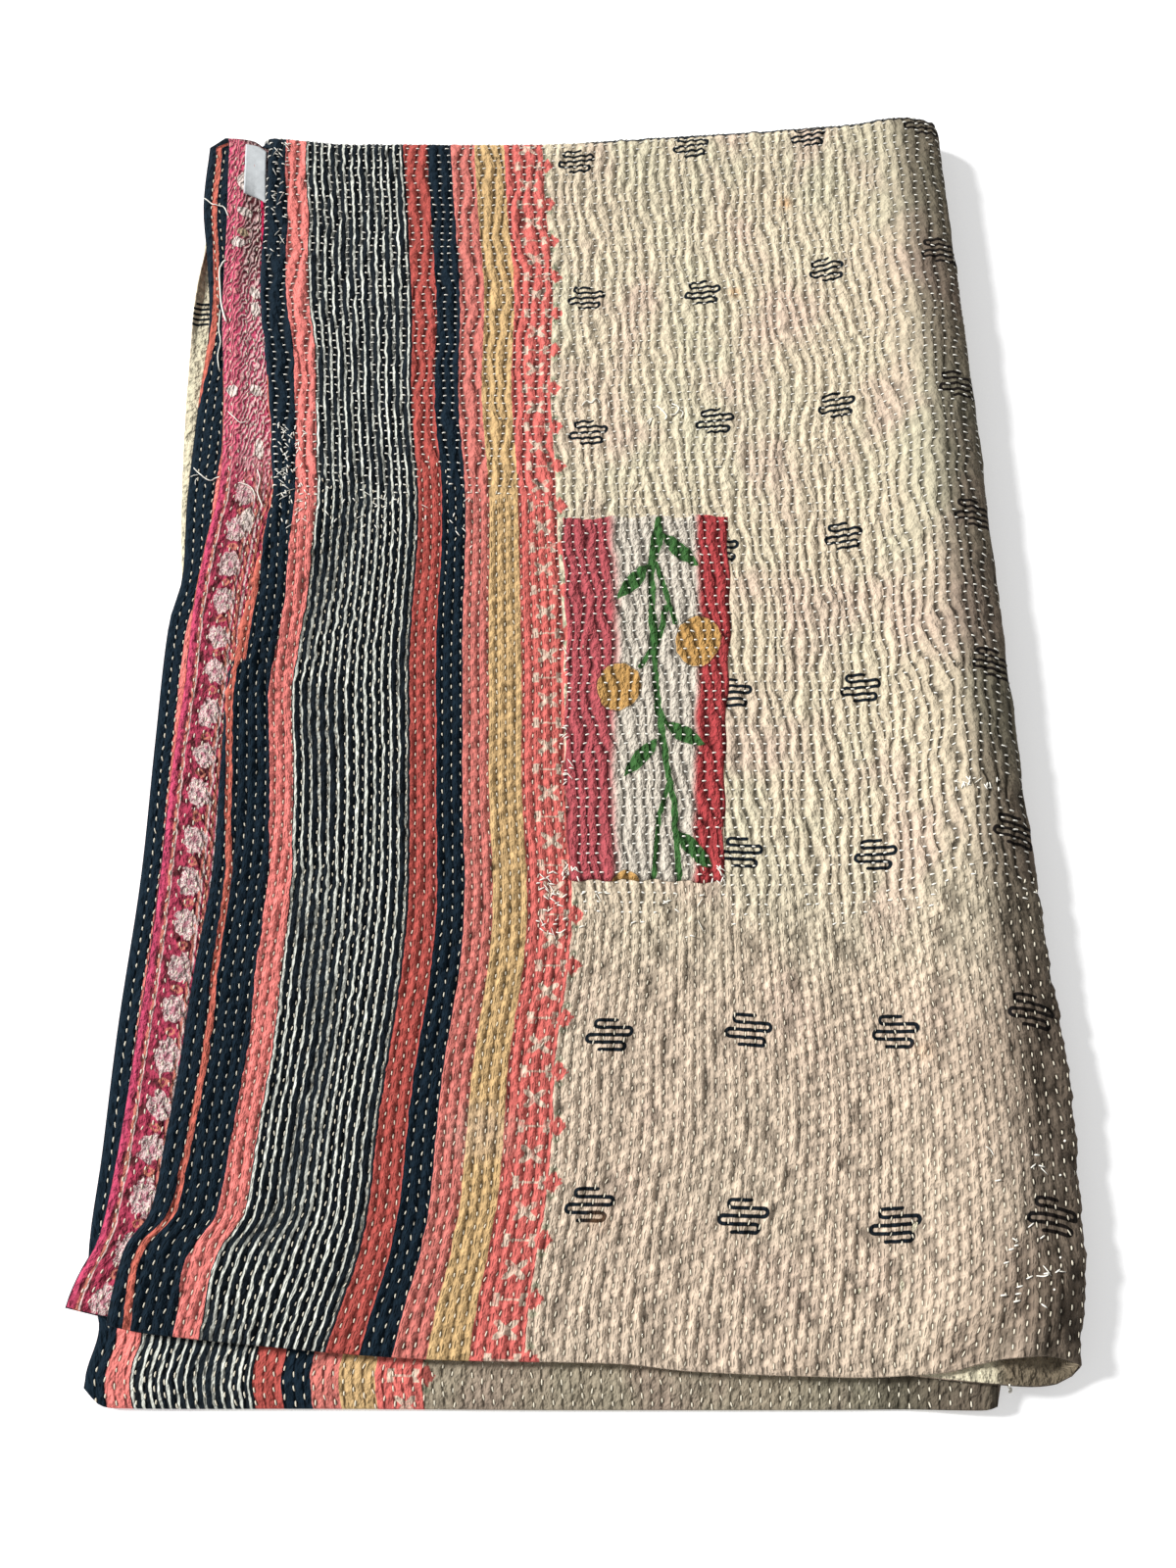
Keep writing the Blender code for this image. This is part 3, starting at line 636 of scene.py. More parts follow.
class Mill:
    """Makes one material's nodes and joins them."""

    def __init__(self, name: str) -> None:
        """Starts a material with its one shader."""
        self.material = bpy.data.materials.new(name)
        self.material.use_nodes = True
        self.tree = self.material.node_tree
        self.shader = self.tree.nodes["Principled BSDF"]
        self.shader.inputs["Metallic"].default_value = 0.0
        self.shader.inputs["Specular IOR Level"].default_value = 0.12

    def add(
        self,
        kind: str,
        settings: Mapping[str, object] | None = None,
        inputs: Mapping[int | str, object] | None = None,
        output: int | str = 0,
    ) -> Value:
        """Adds any node.

        Args:
            kind: the node's type.
            settings: its own settings; "stops" fills a colour ramp, and "between" tells how it runs.
            inputs: values or links of its sockets, by number or name.
            output: which output to return.

        Returns:
            The output, wrapped.
        """
        node = self.tree.nodes.new(kind)
        for name, setting in (settings or {}).items():
            if name == "stops":
                self.fill_ramp(node.color_ramp, setting)
            elif name == "between":
                node.color_ramp.interpolation = setting
            else:
                setattr(node, name, setting)
        for name, given in (inputs or {}).items():
            socket = node.inputs[name]
            if isinstance(given, Value):
                self.tree.links.new(given.socket, socket)
            else:
                socket.default_value = given
        return Value(self, node.outputs[output])

    @staticmethod
    def fill_ramp(ramp: bpy.types.ColorRamp, stops: Sequence[tuple[float, Sequence[float]]]) -> None:
        """Gives a ramp its stops, held between them."""
        ramp.interpolation = "CONSTANT"
        while len(ramp.elements) < len(stops):
            ramp.elements.new(0.5)
        for element, (place, colour) in zip(ramp.elements, stops):
            element.position, element.color = place, colour

    def places(self, name: str) -> tuple[Value, Value]:
        """The two numbers of a UV map."""
        where = self.add("ShaderNodeUVMap", {"uv_map": name})
        return (
            self.add("ShaderNodeSeparateXYZ", None, {0: where}, 0),
            self.add("ShaderNodeSeparateXYZ", None, {0: where}, 1),
        )

    def attribute(self, name: str) -> Value:
        """A number kept on the mesh."""
        return self.add("ShaderNodeAttribute", {"attribute_name": name}, None, "Fac")

    def noise(
        self, across: Value, along: Value, wide: float, long: float, layers: float = 2.0, seed: float = 0.0
    ) -> Value:
        """Cloudy noise around 0.5, with clouds so wide and so long."""
        where = self.add("ShaderNodeCombineXYZ", None, {0: across / wide, 1: along / long, 2: seed})
        return self.add("ShaderNodeTexNoise", None, {"Vector": where, "Scale": 1.0, "Detail": layers})

    def curve(self, place: Value, rows: Sequence[Drift], spread: float) -> Value:
        """Reads a table of drifts, none past the spread, at each place."""
        greys = [(row.along / CURVE_REACH, (0.5 + row.shift / spread / 2,) * 3 + (1.0,)) for row in rows]
        settings = {"stops": greys, "between": "EASE"}
        return (self.add("ShaderNodeValToRGB", settings, {0: place / CURVE_REACH}) - 0.5) * (2 * spread)

    def mix(self, under: object, over: object, share: Value | float, blend: str = "MIX") -> Value:
        """Mixes two colours."""
        settings = {"data_type": "RGBA", "blend_type": blend, "clamp_factor": True}
        return self.add("ShaderNodeMix", settings, {0: share, 6: under, 7: over}, 2)

    def shade(self, colour: Value | tuple[float, float, float, float], amount: Value) -> Value:
        """Multiplies a colour by a number."""
        where = self.add("ShaderNodeCombineXYZ", None, {0: amount, 1: amount, 2: amount})
        given = colour if isinstance(colour, Value) else colour[:3]
        return self.add("ShaderNodeVectorMath", {"operation": "MULTIPLY"}, {0: given, 1: where})

    def finish(
        self,
        colour: Value | tuple,
        roughness: Value | float,
        height: Value | None = None,
        deep: float = 0.001,
        glow: float = 0.0,
    ) -> bpy.types.Material:
        """Joins the shader's sockets and returns the material."""
        for name, given in (("Base Color", colour), ("Roughness", roughness)):
            if isinstance(given, Value):
                self.tree.links.new(given.socket, self.shader.inputs[name])
            else:
                self.shader.inputs[name].default_value = given
        if glow:
            self.shader.inputs["Emission Color"].default_value = (1.0, 1.0, 1.0, 1.0)
            self.shader.inputs["Emission Strength"].default_value = glow
        if height is not None:
            bump = self.add("ShaderNodeBump", None, {"Strength": 1.0, "Distance": deep, "Height": height})
            self.tree.links.new(bump.socket, self.shader.inputs["Normal"])
        return self.material


# ---- Colours ----
NAVY = tone(20, 36, 48)
INK = tone(22, 30, 37)
CORAL = tone(226, 116, 108)
CORAL_BRIGHT = tone(246, 138, 130)
CORAL_DEEP = tone(188, 88, 80)
CORAL_PALE = tone(218, 126, 116)
CORAL_THIN = tone(204, 108, 92)
MUSTARD = tone(216, 180, 128)
CREAM = tone(226, 210, 182)
CREAM_GREEN = tone(214, 212, 182)
CREAM_PINK = tone(222, 196, 176)
LINE = tone(226, 228, 216)
BLOSSOM = tone(232, 220, 196)
LEAF = tone(104, 132, 98)
STAIN = tone(210, 148, 80)
# A brown for painted shade: toward the right fold, on the strip under the top layer and on the back's lip.
SHADE_BROWN = tone(84, 62, 44)
CRIMSON = tone(196, 30, 78)
MAGENTA = tone(182, 66, 92)
MAROON = tone(96, 42, 48)
RASPBERRY = tone(206, 78, 112)
ROSY = tone(178, 70, 106)
PALE_PINK = tone(236, 200, 196)
SALMON = tone(206, 128, 108)
ROSE = tone(226, 208, 200)
BUD = tone(176, 152, 126)
THREAD = tone(246, 243, 232)
PALE_THREAD = tone(222, 214, 194)


class Stripe(NamedTuple):
    """One woven stripe of the border, up to a place from the edge."""

    until: float
    colour: tuple[float, float, float, float]


STRIPES = (
    Stripe(0.0122, NAVY), Stripe(0.018, CORAL_THIN), Stripe(0.044, NAVY), Stripe(0.0642, CORAL_BRIGHT),
    Stripe(0.1515, INK), Stripe(0.1712, CORAL_DEEP), Stripe(0.1928, NAVY), Stripe(0.2125, CORAL_PALE),
    Stripe(0.238, MUSTARD), Stripe(0.273, CORAL), Stripe(0.66, CREAM),
)


class Drift(NamedTuple):
    """One place along the quilt, and how far out of line a stripe runs there, or where a line lies."""

    along: float
    shift: float


DRIFTS = (
    Drift(0.0, 0.002), Drift(0.042, 0.006), Drift(0.085, 0.0), Drift(0.155, -0.0014), Drift(0.193, -0.0018),
    Drift(0.277, 0.0008), Drift(0.323, 0.003), Drift(0.372, 0.0069), Drift(0.42, 0.0075),
    Drift(0.47, 0.008), Drift(0.52, 0.004), Drift(0.572, 0.0024), Drift(0.676, -0.0012),
    Drift(0.746, -0.0036), Drift(0.805, -0.006), Drift(0.862, -0.0034), Drift(0.93, -0.0021),
    Drift(1.0, 0.0024),
)
TURNED_LINE = (
    Drift(0.5, 0.018), Drift(0.54, 0.0182), Drift(0.58, 0.021), Drift(0.62, 0.0245), Drift(0.665, 0.0285),
    Drift(0.79, 0.029),
)


class Bar(NamedTuple):
    """One straight run of the meander, from left to right."""

    y: float
    left: float
    right: float


class Turn(NamedTuple):
    """One half-round turn of the meander, open to the other side."""

    x: float
    y: float
    side: int


TURN_SIZE = 0.00265
BARS = (
    Bar(0.0106, -0.0079, 0.0045), Bar(0.0053, -0.0079, 0.0131), Bar(0.0, -0.0128, 0.0131),
    Bar(-0.0053, -0.0128, 0.0088), Bar(-0.0106, -0.006, 0.0088),
)
TURNS = (
    Turn(-0.0079, 0.00795, -1), Turn(0.0131, 0.00265, 1), Turn(-0.0128, -0.00265, -1),
    Turn(0.0088, -0.00795, 1),
)


class Motif(NamedTuple):
    """Where a meander stands: its column, its row from the near hem, how far off the row, and its tilt."""

    column: int
    row: int
    off: float
    tilt: float
    aside: float = 0.0


MOTIF_COLUMNS = (0.303, 0.407, 0.511, 0.615)
MOTIF_ROW_START = 0.098
MOTIF_ROW_PITCH = 0.132
LOWER_MOTIF = (0.008, 1.222, 0.0)  # across, along and tilt of the one on the lowest layer's edge
MOTIFS = (
    Motif(0, 7, -0.017, 2), Motif(1, 7, -0.008, 4), Motif(2, 7, -0.005, 6, 0.003), Motif(3, 7, 0.0, 8),
    Motif(0, 6, -0.028, 0), Motif(1, 6, -0.028, 3), Motif(2, 6, -0.012, 10, 0.009), Motif(3, 6, -0.007, 12),
    Motif(0, 5, -0.033, 0), Motif(1, 5, -0.026, 3, 0.003),
    Motif(2, 5, -0.016, 8, 0.003), Motif(3, 5, -0.009, 12),
    Motif(1, 4, -0.013, 2), Motif(2, 4, -0.006, 5), Motif(3, 4, 0.002, 9),
    Motif(1, 3, -0.007, 0), Motif(2, 3, -0.006, 0), Motif(3, 3, 0.003, 2),
    Motif(1, 2, -0.004, -2), Motif(2, 2, -0.008, -2), Motif(3, 2, 0.0, 0),
    Motif(0, 1, -0.011, 0, 0.006), Motif(1, 1, -0.004, -3),
    Motif(2, 1, -0.006, -4), Motif(3, 1, -0.003, -2, -0.008),
    Motif(0, 0, 0.003, 0), Motif(1, 0, 0.001, 0),
    Motif(2, 0, -0.004, 0, -0.004), Motif(3, 0, -0.01, -2, -0.008),
)


class Stain(NamedTuple):
    """One mark on the front: rust, painted shade or a pink cloud."""

    across: float
    along: float
    size: float
    share: float
    colour: tuple[float, float, float, float] = STAIN


STAINS = (
    Stain(0.436, 0.861, 0.0085, 0.45), Stain(0.489, 0.95, 0.009, 0.55), Stain(0.238, 0.89, 0.012, 0.25),
    Stain(0.53, 0.21, 0.011, 0.18), Stain(0.31, 0.09, 0.013, 0.15),
    # The brown marks near the right fold and the near hem are painted shade.
    Stain(0.225, 0.15, 0.03, 0.45, CREAM_PINK), Stain(0.59, 0.035, 0.05, 0.45, SHADE_BROWN),
    Stain(0.55, 0.01, 0.03, 0.3, SHADE_BROWN), Stain(0.58, 0.19, 0.05, 0.2, SHADE_BROWN),
    Stain(0.46, 0.005, 0.03, 0.2, SHADE_BROWN),
)


class Cut:
    """How far the second edge is cut into its border, from the far end to the near one."""

    MOST = 0.0325

    @classmethod
    def band(cls, across: np.ndarray, along: np.ndarray) -> np.ndarray:
        """How far into the woven border a place on the front lies."""
        taper = 0.006 + (cls.MOST - 0.006) * ease((along - 1.1) / 0.5)
        first_half = across + np.where(along > 1.045, 0.3, 0.0)  # the lower first edge has no border
        return np.where(across < QUILT_WIDTH / 2, first_half, QUILT_WIDTH - across + taper)


@dataclass(frozen=True)
class FrontCloth:
    """The quilt's front: the woven border, the printed band and the pale field."""

    line_pitch: float = 0.0064
    line_half: float = 0.00095
    print_repeat: float = 0.0385
    meander_half: float = 0.00135

    def lines(self, mill: Mill, band: Value, along: Value) -> Value:
        """The fine wavy lines on the ink-dark stripe."""
        sway = (mill.noise(band, along, 0.01, 0.011, 2, 3) - 0.5) * 0.003
        phase = ((band + sway - 0.063) / self.line_pitch).fract()
        from_line = abs(phase - 0.5) * self.line_pitch
        width = (mill.noise(band, along, 0.005, 0.01, 2, 5) - 0.5) * 0.0011
        drawn = (from_line - width).ramp(self.line_half + 0.00035, self.line_half - 0.00035)
        return drawn * band.within(0.0652, 0.15, 0.0004)

    def blossoms(self, mill: Mill, band: Value, along: Value) -> Value:
        """The printed band's small stars and double bars."""
        frayed = (mill.noise(band, along, 0.002, 0.002, 2, 14) - 0.5) * 0.26
        x = abs(band - 0.26)
        part = (along / self.print_repeat).fract() - 0.5
        a, b = x / 0.008 + frayed, abs(part) * (self.print_repeat / 0.0066) + frayed
        star = abs(a - b).ramp(0.46, 0.34) * a.most(b).ramp(1.02, 0.9)
        bar_y = (abs(abs(part) - 0.5)) * self.print_repeat + frayed * 0.002
        blocks = abs(x + frayed * 0.003 - 0.009).ramp(0.0027, 0.002) * bar_y.ramp(0.0047, 0.004)
        line = bar_y.ramp(0.001, 0.0005) * x.ramp(0.0095, 0.0085)
        return star.most(blocks).most(line * 0.8)

    def meander(self, mill: Mill) -> Value:
        """The printed meanders, drawn run by run and turn by turn."""
        x, y = mill.places("Motif")
        x, y = (
            place + (mill.noise(x, y, 0.006, 0.006, 2, seed) - 0.5) * 0.001
            for place, seed in ((x, 1), (y, 2))
        )
        nearest: Value | None = None
        for bar in BARS:
            past = (abs(x - (bar.left + bar.right) / 2) - (bar.right - bar.left) / 2).most(0.0)
            away = (past * past + (y - bar.y) * (y - bar.y)).power(0.5)
            nearest = away if nearest is None else nearest.least(away)
        for turn in TURNS:
            reach = ((x - turn.x) * (x - turn.x) + (y - turn.y) * (y - turn.y)).power(0.5)
            nearest = nearest.least(abs(reach - TURN_SIZE) + ((turn.x - x) * turn.side).most(0.0) * 20.0)
        return nearest.ramp(self.meander_half + 0.0003, self.meander_half - 0.0003)

    def creases(self, mill: Mill, band: Value, along: Value) -> Value:
        """How deep in a crease a place lies: along the rows of stitch, and between the ridges."""
        row, rope = mill.places("Quilt")
        crossed = mill.attribute("Crossed")
        stray = (mill.noise(band, along, 0.0045, 0.007, 2, 50) - 0.5) * 0.5
        from_row = abs((row + stray * 0.8).fract() - 0.5) * 2
        from_rope = abs((rope + stray).fract() - 0.5) * 2
        depth = mill.noise(band, along, 0.008, 0.012, 2, 51).ramp(0.3, 0.6) * 0.6 + 0.4
        in_row, in_rope = from_row.ramp(0.5, 1.0) * 0.42, from_rope.ramp(0.56, 0.97)
        return (in_row + (in_rope - in_row) * crossed) * depth

    @staticmethod
    def pinched(mill: Mill) -> Value:
        """1 beside a lengthwise dash, where the cloth dips; it paints a shadow there and lowers the bump."""
        beside, ahead = mill.places("Dash")
        ahead = abs((ahead + 0.5).fract() - 0.5) * DASH_PITCH
        hollow = abs(beside - 0.0009).ramp(0.0015, 0.0004) * ahead.ramp(0.0033, 0.0016)
        return hollow * (1 - mill.attribute("Crossed"))

    def make(self) -> bpy.types.Material:
        """The finish."""
        mill = Mill("quilt_front")
        band, along = mill.places("Cloth")
        hollow = mill.attribute("Hollow")
        sway = (mill.noise(band, along, 0.03, 0.012, 3, 1) - 0.5) * 0.003
        drift = mill.curve(along, DRIFTS, 0.01) * band.ramp(0.13, 0.07) * along.ramp(1.08, 1.04)
        edge = band + sway + drift
        reach = STRIPES[-1].until
        runs = [(0.0, STRIPES[0].colour)]
        runs += [(before.until / reach, after.colour) for before, after in zip(STRIPES, STRIPES[1:])]
        colour = mill.add("ShaderNodeValToRGB", {"stops": runs}, {0: edge / reach})
        turned = (mill.curve(along, TURNED_LINE, 0.04) - band).ramp(-0.0003, 0.0003)
        colour = mill.mix(colour, CORAL_THIN, turned * along.within(0.505, 0.775, 0.002))
        field_share = edge.ramp(0.2728, 0.2732)
        clouds = mill.noise(band, along, 0.09, 0.13, 3, 8).ramp(0.42, 0.66)
        blush = mill.noise(band, along, 0.07, 0.1, 3, 12).ramp(0.46, 0.68)
        colour = mill.mix(colour, CREAM_GREEN, clouds * field_share * 0.5)
        blush = blush.most(along.ramp(0.42, 0.2) * 0.8)
        colour = mill.mix(colour, CREAM_PINK, blush * field_share * 0.75)
        colour = mill.mix(colour, LINE, self.lines(mill, edge, along))
        printed = edge.within(0.2392, 0.2722, 0.0004)
        faded = mill.noise(band, along, 0.006, 0.008, 2, 17).ramp(0.3, 0.52) * 0.5 + 0.28
        colour = mill.mix(colour, BLOSSOM, self.blossoms(mill, edge, along) * printed * faded)
        colour = mill.mix(colour, NAVY, along.within(1.0245, 1.05, 0.0015) * edge.ramp(0.29, 0.33))
        bud_y = abs(abs((along / self.print_repeat).fract() - 0.5) - 0.5) * self.print_repeat
        ragged = (mill.noise(band, along, 0.003, 0.003, 2, 19) - 0.5) * 0.008
        reach = abs(edge - 0.2762) + bud_y * 0.85 + ragged
        colour = mill.mix(colour, CORAL, reach.ramp(0.0072, 0.006))
        leaf_y, leaf_x = abs(bud_y - 0.009), abs(edge - 0.2762)
        colour = mill.mix(colour, LEAF, (leaf_x + leaf_y).ramp(0.0042, 0.0022) * 0.5)
        colour = mill.mix(colour, INK, self.meander(mill))
        blot = mill.noise(band, along, 0.01, 0.01, 2, 9)
        for mark in STAINS:
            off_x, off_y = (band - mark.across) / mark.size, (along - mark.along) / mark.size
            spot = (off_x * off_x + off_y * off_y).power(0.5) + blot * 0.8
            colour = mill.mix(colour, mark.colour, spot.ramp(1.5, 0.4) * mark.share)
        fade = mill.noise(band, along, 0.012, 0.03, 4, 20)
        threads = mill.noise(band, along, 0.0009, 0.0016, 2, 30)
        crease = self.creases(mill, band, along)
        lumps = mill.noise(band + along * 0.35, along - band * 0.3, 0.0056, 0.008, 2, 40).ramp(0.26, 0.7)
        pinch = self.pinched(mill)
        # Random wear tone, and painted shade in the lows between the lumps.
        wear_and_lump_shade = (1 + (fade - 0.5) * 0.4 + (threads - 0.5) * 0.4) * (0.78 + lumps * 0.3)
        calm = field_share * along.ramp(0.55, 0.75)  # the far part of the pale field is smoother
        # Painted shade: darker in the relief's valleys, in the creases and beside each lengthwise dash.
        light = wear_and_lump_shade * (1 - hollow * 0.5) * (1 - crease * (0.68 - calm * 0.26)) * (1 - pinch * 0.42)
        # Painted shade: darker and browner toward the right fold, where the cloth turns from the light, and
        # on the near strip under the top layer.
        fold_and_hem_shade = (band.ramp(0.578, 0.608) * 0.95).most(along.ramp(2.03, 2.07) * 0.6)
        colour = mill.mix(colour, SHADE_BROWN, fold_and_hem_shade * field_share * 0.35)
        light = light * (1 - fold_and_hem_shade * field_share * 0.66)
        # Painted shade: the pale field darkens a little toward the right fold.
        light = light * (1 - band.ramp(0.525, 0.58) * field_share * 0.2)
        height = lumps * (1.2 + mill.attribute("Crossed") * 0.2) + threads * 0.4
        height = height - crease * (1.3 - calm * 0.5) - pinch * 0.5
        return mill.finish(mill.shade(colour, light), 0.92, height, 0.001)


class Line(NamedTuple):
    """One line along the back's border, at a place in from the second edge."""

    near: float
    far: float
    colour: tuple[float, float, float, float]


BACK_LINES = (
    Line(0.0, 0.004, RASPBERRY), Line(0.0062, 0.0082, SALMON), Line(0.0082, 0.0092, ROSE),
    Line(0.03, 0.0322, SALMON), Line(0.0322, 0.0334, ROSE), Line(0.035, 0.0376, SALMON),
    Line(0.039, 0.0404, ROSE), Line(0.042, 0.0446, SALMON),
)


class Petal(NamedTuple):
    """One pale petal on the bunched end of the back's border."""

    inset: float
    along: float
    wide: float
    long: float
    colour: tuple[float, float, float, float]


PETALS = (
    Petal(0.015, 0.975, 0.006, 0.01, ROSE), Petal(0.0165, 0.943, 0.0068, 0.0048, ROSE),
    Petal(0.015, 0.921, 0.0052, 0.0052, BUD), Petal(0.0115, 0.909, 0.0062, 0.0056, ROSE),
    Petal(0.029, 0.86, 0.005, 0.0056, ROSE), Petal(0.03, 0.843, 0.0046, 0.008, ROSE),
    Petal(0.029, 0.757, 0.0064, 0.006, ROSE), Petal(0.008, 0.752, 0.005, 0.0062, ROSE),
    Petal(0.033, 0.7, 0.0044, 0.01, ROSE), Petal(0.031, 0.63, 0.0064, 0.011, ROSE),
)


@dataclass(frozen=True)
class BackCloth:
    """The quilt's back: pale, with a rose-strewn border at the second edge."""

    rose_pitch: float = 0.034
    rose_at: float = 0.0235

    def make(self) -> bpy.types.Material:
        """The finish."""
        mill = Mill("quilt_back")
        across, along = mill.places("Cloth")
        edge = QUILT_WIDTH - across
        inset = edge + (mill.noise(edge, along, 0.008, 0.01, 2, 2) - 0.5) * 0.004
        colour = mill.mix(CREAM, CREAM_GREEN, mill.noise(across, along, 0.05, 0.08, 2, 3))
        dark = mill.noise(edge, along, 0.006, 0.012, 2, 12).ramp(0.46, 0.62)
        colour = mill.mix(colour, mill.mix(MAGENTA, MAROON, dark), inset.ramp(0.08, 0.0795))
        for line in BACK_LINES:
            colour = mill.mix(colour, line.colour, inset.within(line.near, line.far, 0.0004) * 0.85)
        colour = mill.mix(colour, INK, FrontCloth().meander(mill))
        bunched = along.ramp(0.64, 0.72) * edge.ramp(0.06, 0.05)
        turn = (along / self.rose_pitch + mill.noise(edge, along, 0.05, 0.05, 1, 7) * 0.5).fract() - 0.5
        wobble = (mill.noise(edge, along, 0.005, 0.006, 2, 6) - 0.5) * 0.012
        off, on = (inset - self.rose_at) * (inset - self.rose_at), turn * self.rose_pitch
        reach = (off * 1.25 + on * on * 0.75).power(0.5) + wobble
        shown = 1 - bunched
        rose = reach.ramp(0.0102, 0.0088) * shown
        rings = ((reach + wobble * 1.4) / 0.0036).fract().ramp(0.5, 0.78) * rose
        colour = mill.mix(colour, ROSE, rose)
        colour = mill.mix(colour, ROSY, (rings * 0.8).most(reach.ramp(0.003, 0.0016) * shown * 0.7))
        apart = (abs(turn) - 0.5) * self.rose_pitch
        curl = (off + apart * apart).power(0.5) + wobble * 0.4
        colour = mill.mix(colour, SALMON, curl.within(0.0016, 0.0036, 0.0004) * shown * 0.9)
        bend = (mill.noise(edge, along, 0.01, 0.016, 2, 18) - 0.5) * 3.4
        slope = (inset * 1.15 - along * 0.42) / 0.0042 + bend
        strands = abs(slope.fract() - 0.5).ramp(0.1, 0.42)
        left = inset.ramp(0.019, 0.013)
        ground = mill.mix(MAROON, RASPBERRY, left.most(along.ramp(0.9, 0.84) * 0.8))
        colour = mill.mix(colour, ground, bunched)
        flecks = mill.mix(PALE_PINK, SALMON, left * 0.5)
        colour = mill.mix(colour, flecks, bunched * strands * (0.85 - left * 0.3))
        for petal in PETALS:
            off_x, off_y = (inset - petal.inset) / petal.wide, (along - petal.along) / petal.long
            leaf = (off_x * off_x + off_y * off_y).power(0.5) + wobble * 60.0
            colour = mill.mix(colour, petal.colour, leaf.ramp(1.05, 0.9))
            colour = mill.mix(colour, MAROON, leaf.within(1.02, 1.14, 0.05) * 0.6)
        line_at = 0.0325 + (0.9416 - along) * 0.0325
        on_line = abs(inset - line_at).ramp(0.0014, 0.001) * along.within(0.855, 0.99, 0.004)
        colour = mill.mix(colour, CRIMSON, on_line)
        # Painted shade on the back's lip beside the right fold.
        colour = mill.mix(colour, SHADE_BROWN, across.within(0.6, 0.69, 0.006) * 0.75)
        fade = mill.noise(edge, along, 0.01, 0.02, 4, 21)
        threads = mill.noise(edge, along, 0.0009, 0.0016, 2, 31)
        lumps = mill.noise(edge, along, 0.0044, 0.0062, 2, 41).ramp(0.26, 0.66)
        cords = abs(((inset * 0.9 + along * 0.6) / 0.0074 + bend * 0.3).fract() - 0.5).ramp(0.2, 0.48)
        cords = cords * inset.within(0.028, 0.07, 0.002)
        # Random wear tone, and painted shade in the lows between the lumps and between the twisted cords.
        light = (1 + (fade - 0.5) * 0.5 + (threads - 0.5) * 0.4) * (0.54 + lumps * 0.52)
        light = light * (1 - cords * 0.35 * shown)
        height = lumps * 1.7 + strands * bunched * 1.0 + threads * 0.5 - cords * shown
        return mill.finish(mill.shade(colour, light), 0.92, height, 0.001)


@dataclass(frozen=True)
class SoftCotton:
    """A plain cotton thread or strip in one colour, a little uneven."""

    name: str
    colour: tuple[float, float, float, float]
    roughness: float = 0.75
    uneven: float = 0.25

    def make(self) -> bpy.types.Material:
        """The finish."""
        mill = Mill(self.name)
        where = mill.add("ShaderNodeTexCoord", None, None, "Object")
        cloud = mill.add("ShaderNodeTexNoise", None, {"Vector": where, "Scale": 260.0, "Detail": 2.0})
        colour = mill.shade(self.colour, 1 + (cloud - 0.5) * self.uneven)
        return mill.finish(colour, self.roughness, cloud, 0.0002)


# ---- The quilt ----
class Block(NamedTuple):
    """A rectangle of the quilt's grid on one face, its cells' stops, and its place on the bake's square."""

    side: Side
    columns: Sequence[int]
    rows: Sequence[int]
    left: float
    right: float
    low: float
    high: float
    swapped: bool = False


def stops(first: int, last: int, step: int) -> list[int]:
    """Whole numbers from first to last, so far apart, with the last one always there."""
    found = list(range(first, last, step))
    if len(found) > 1 and last - found[-1] < step / 2:
        found.pop()
    return found + [last]


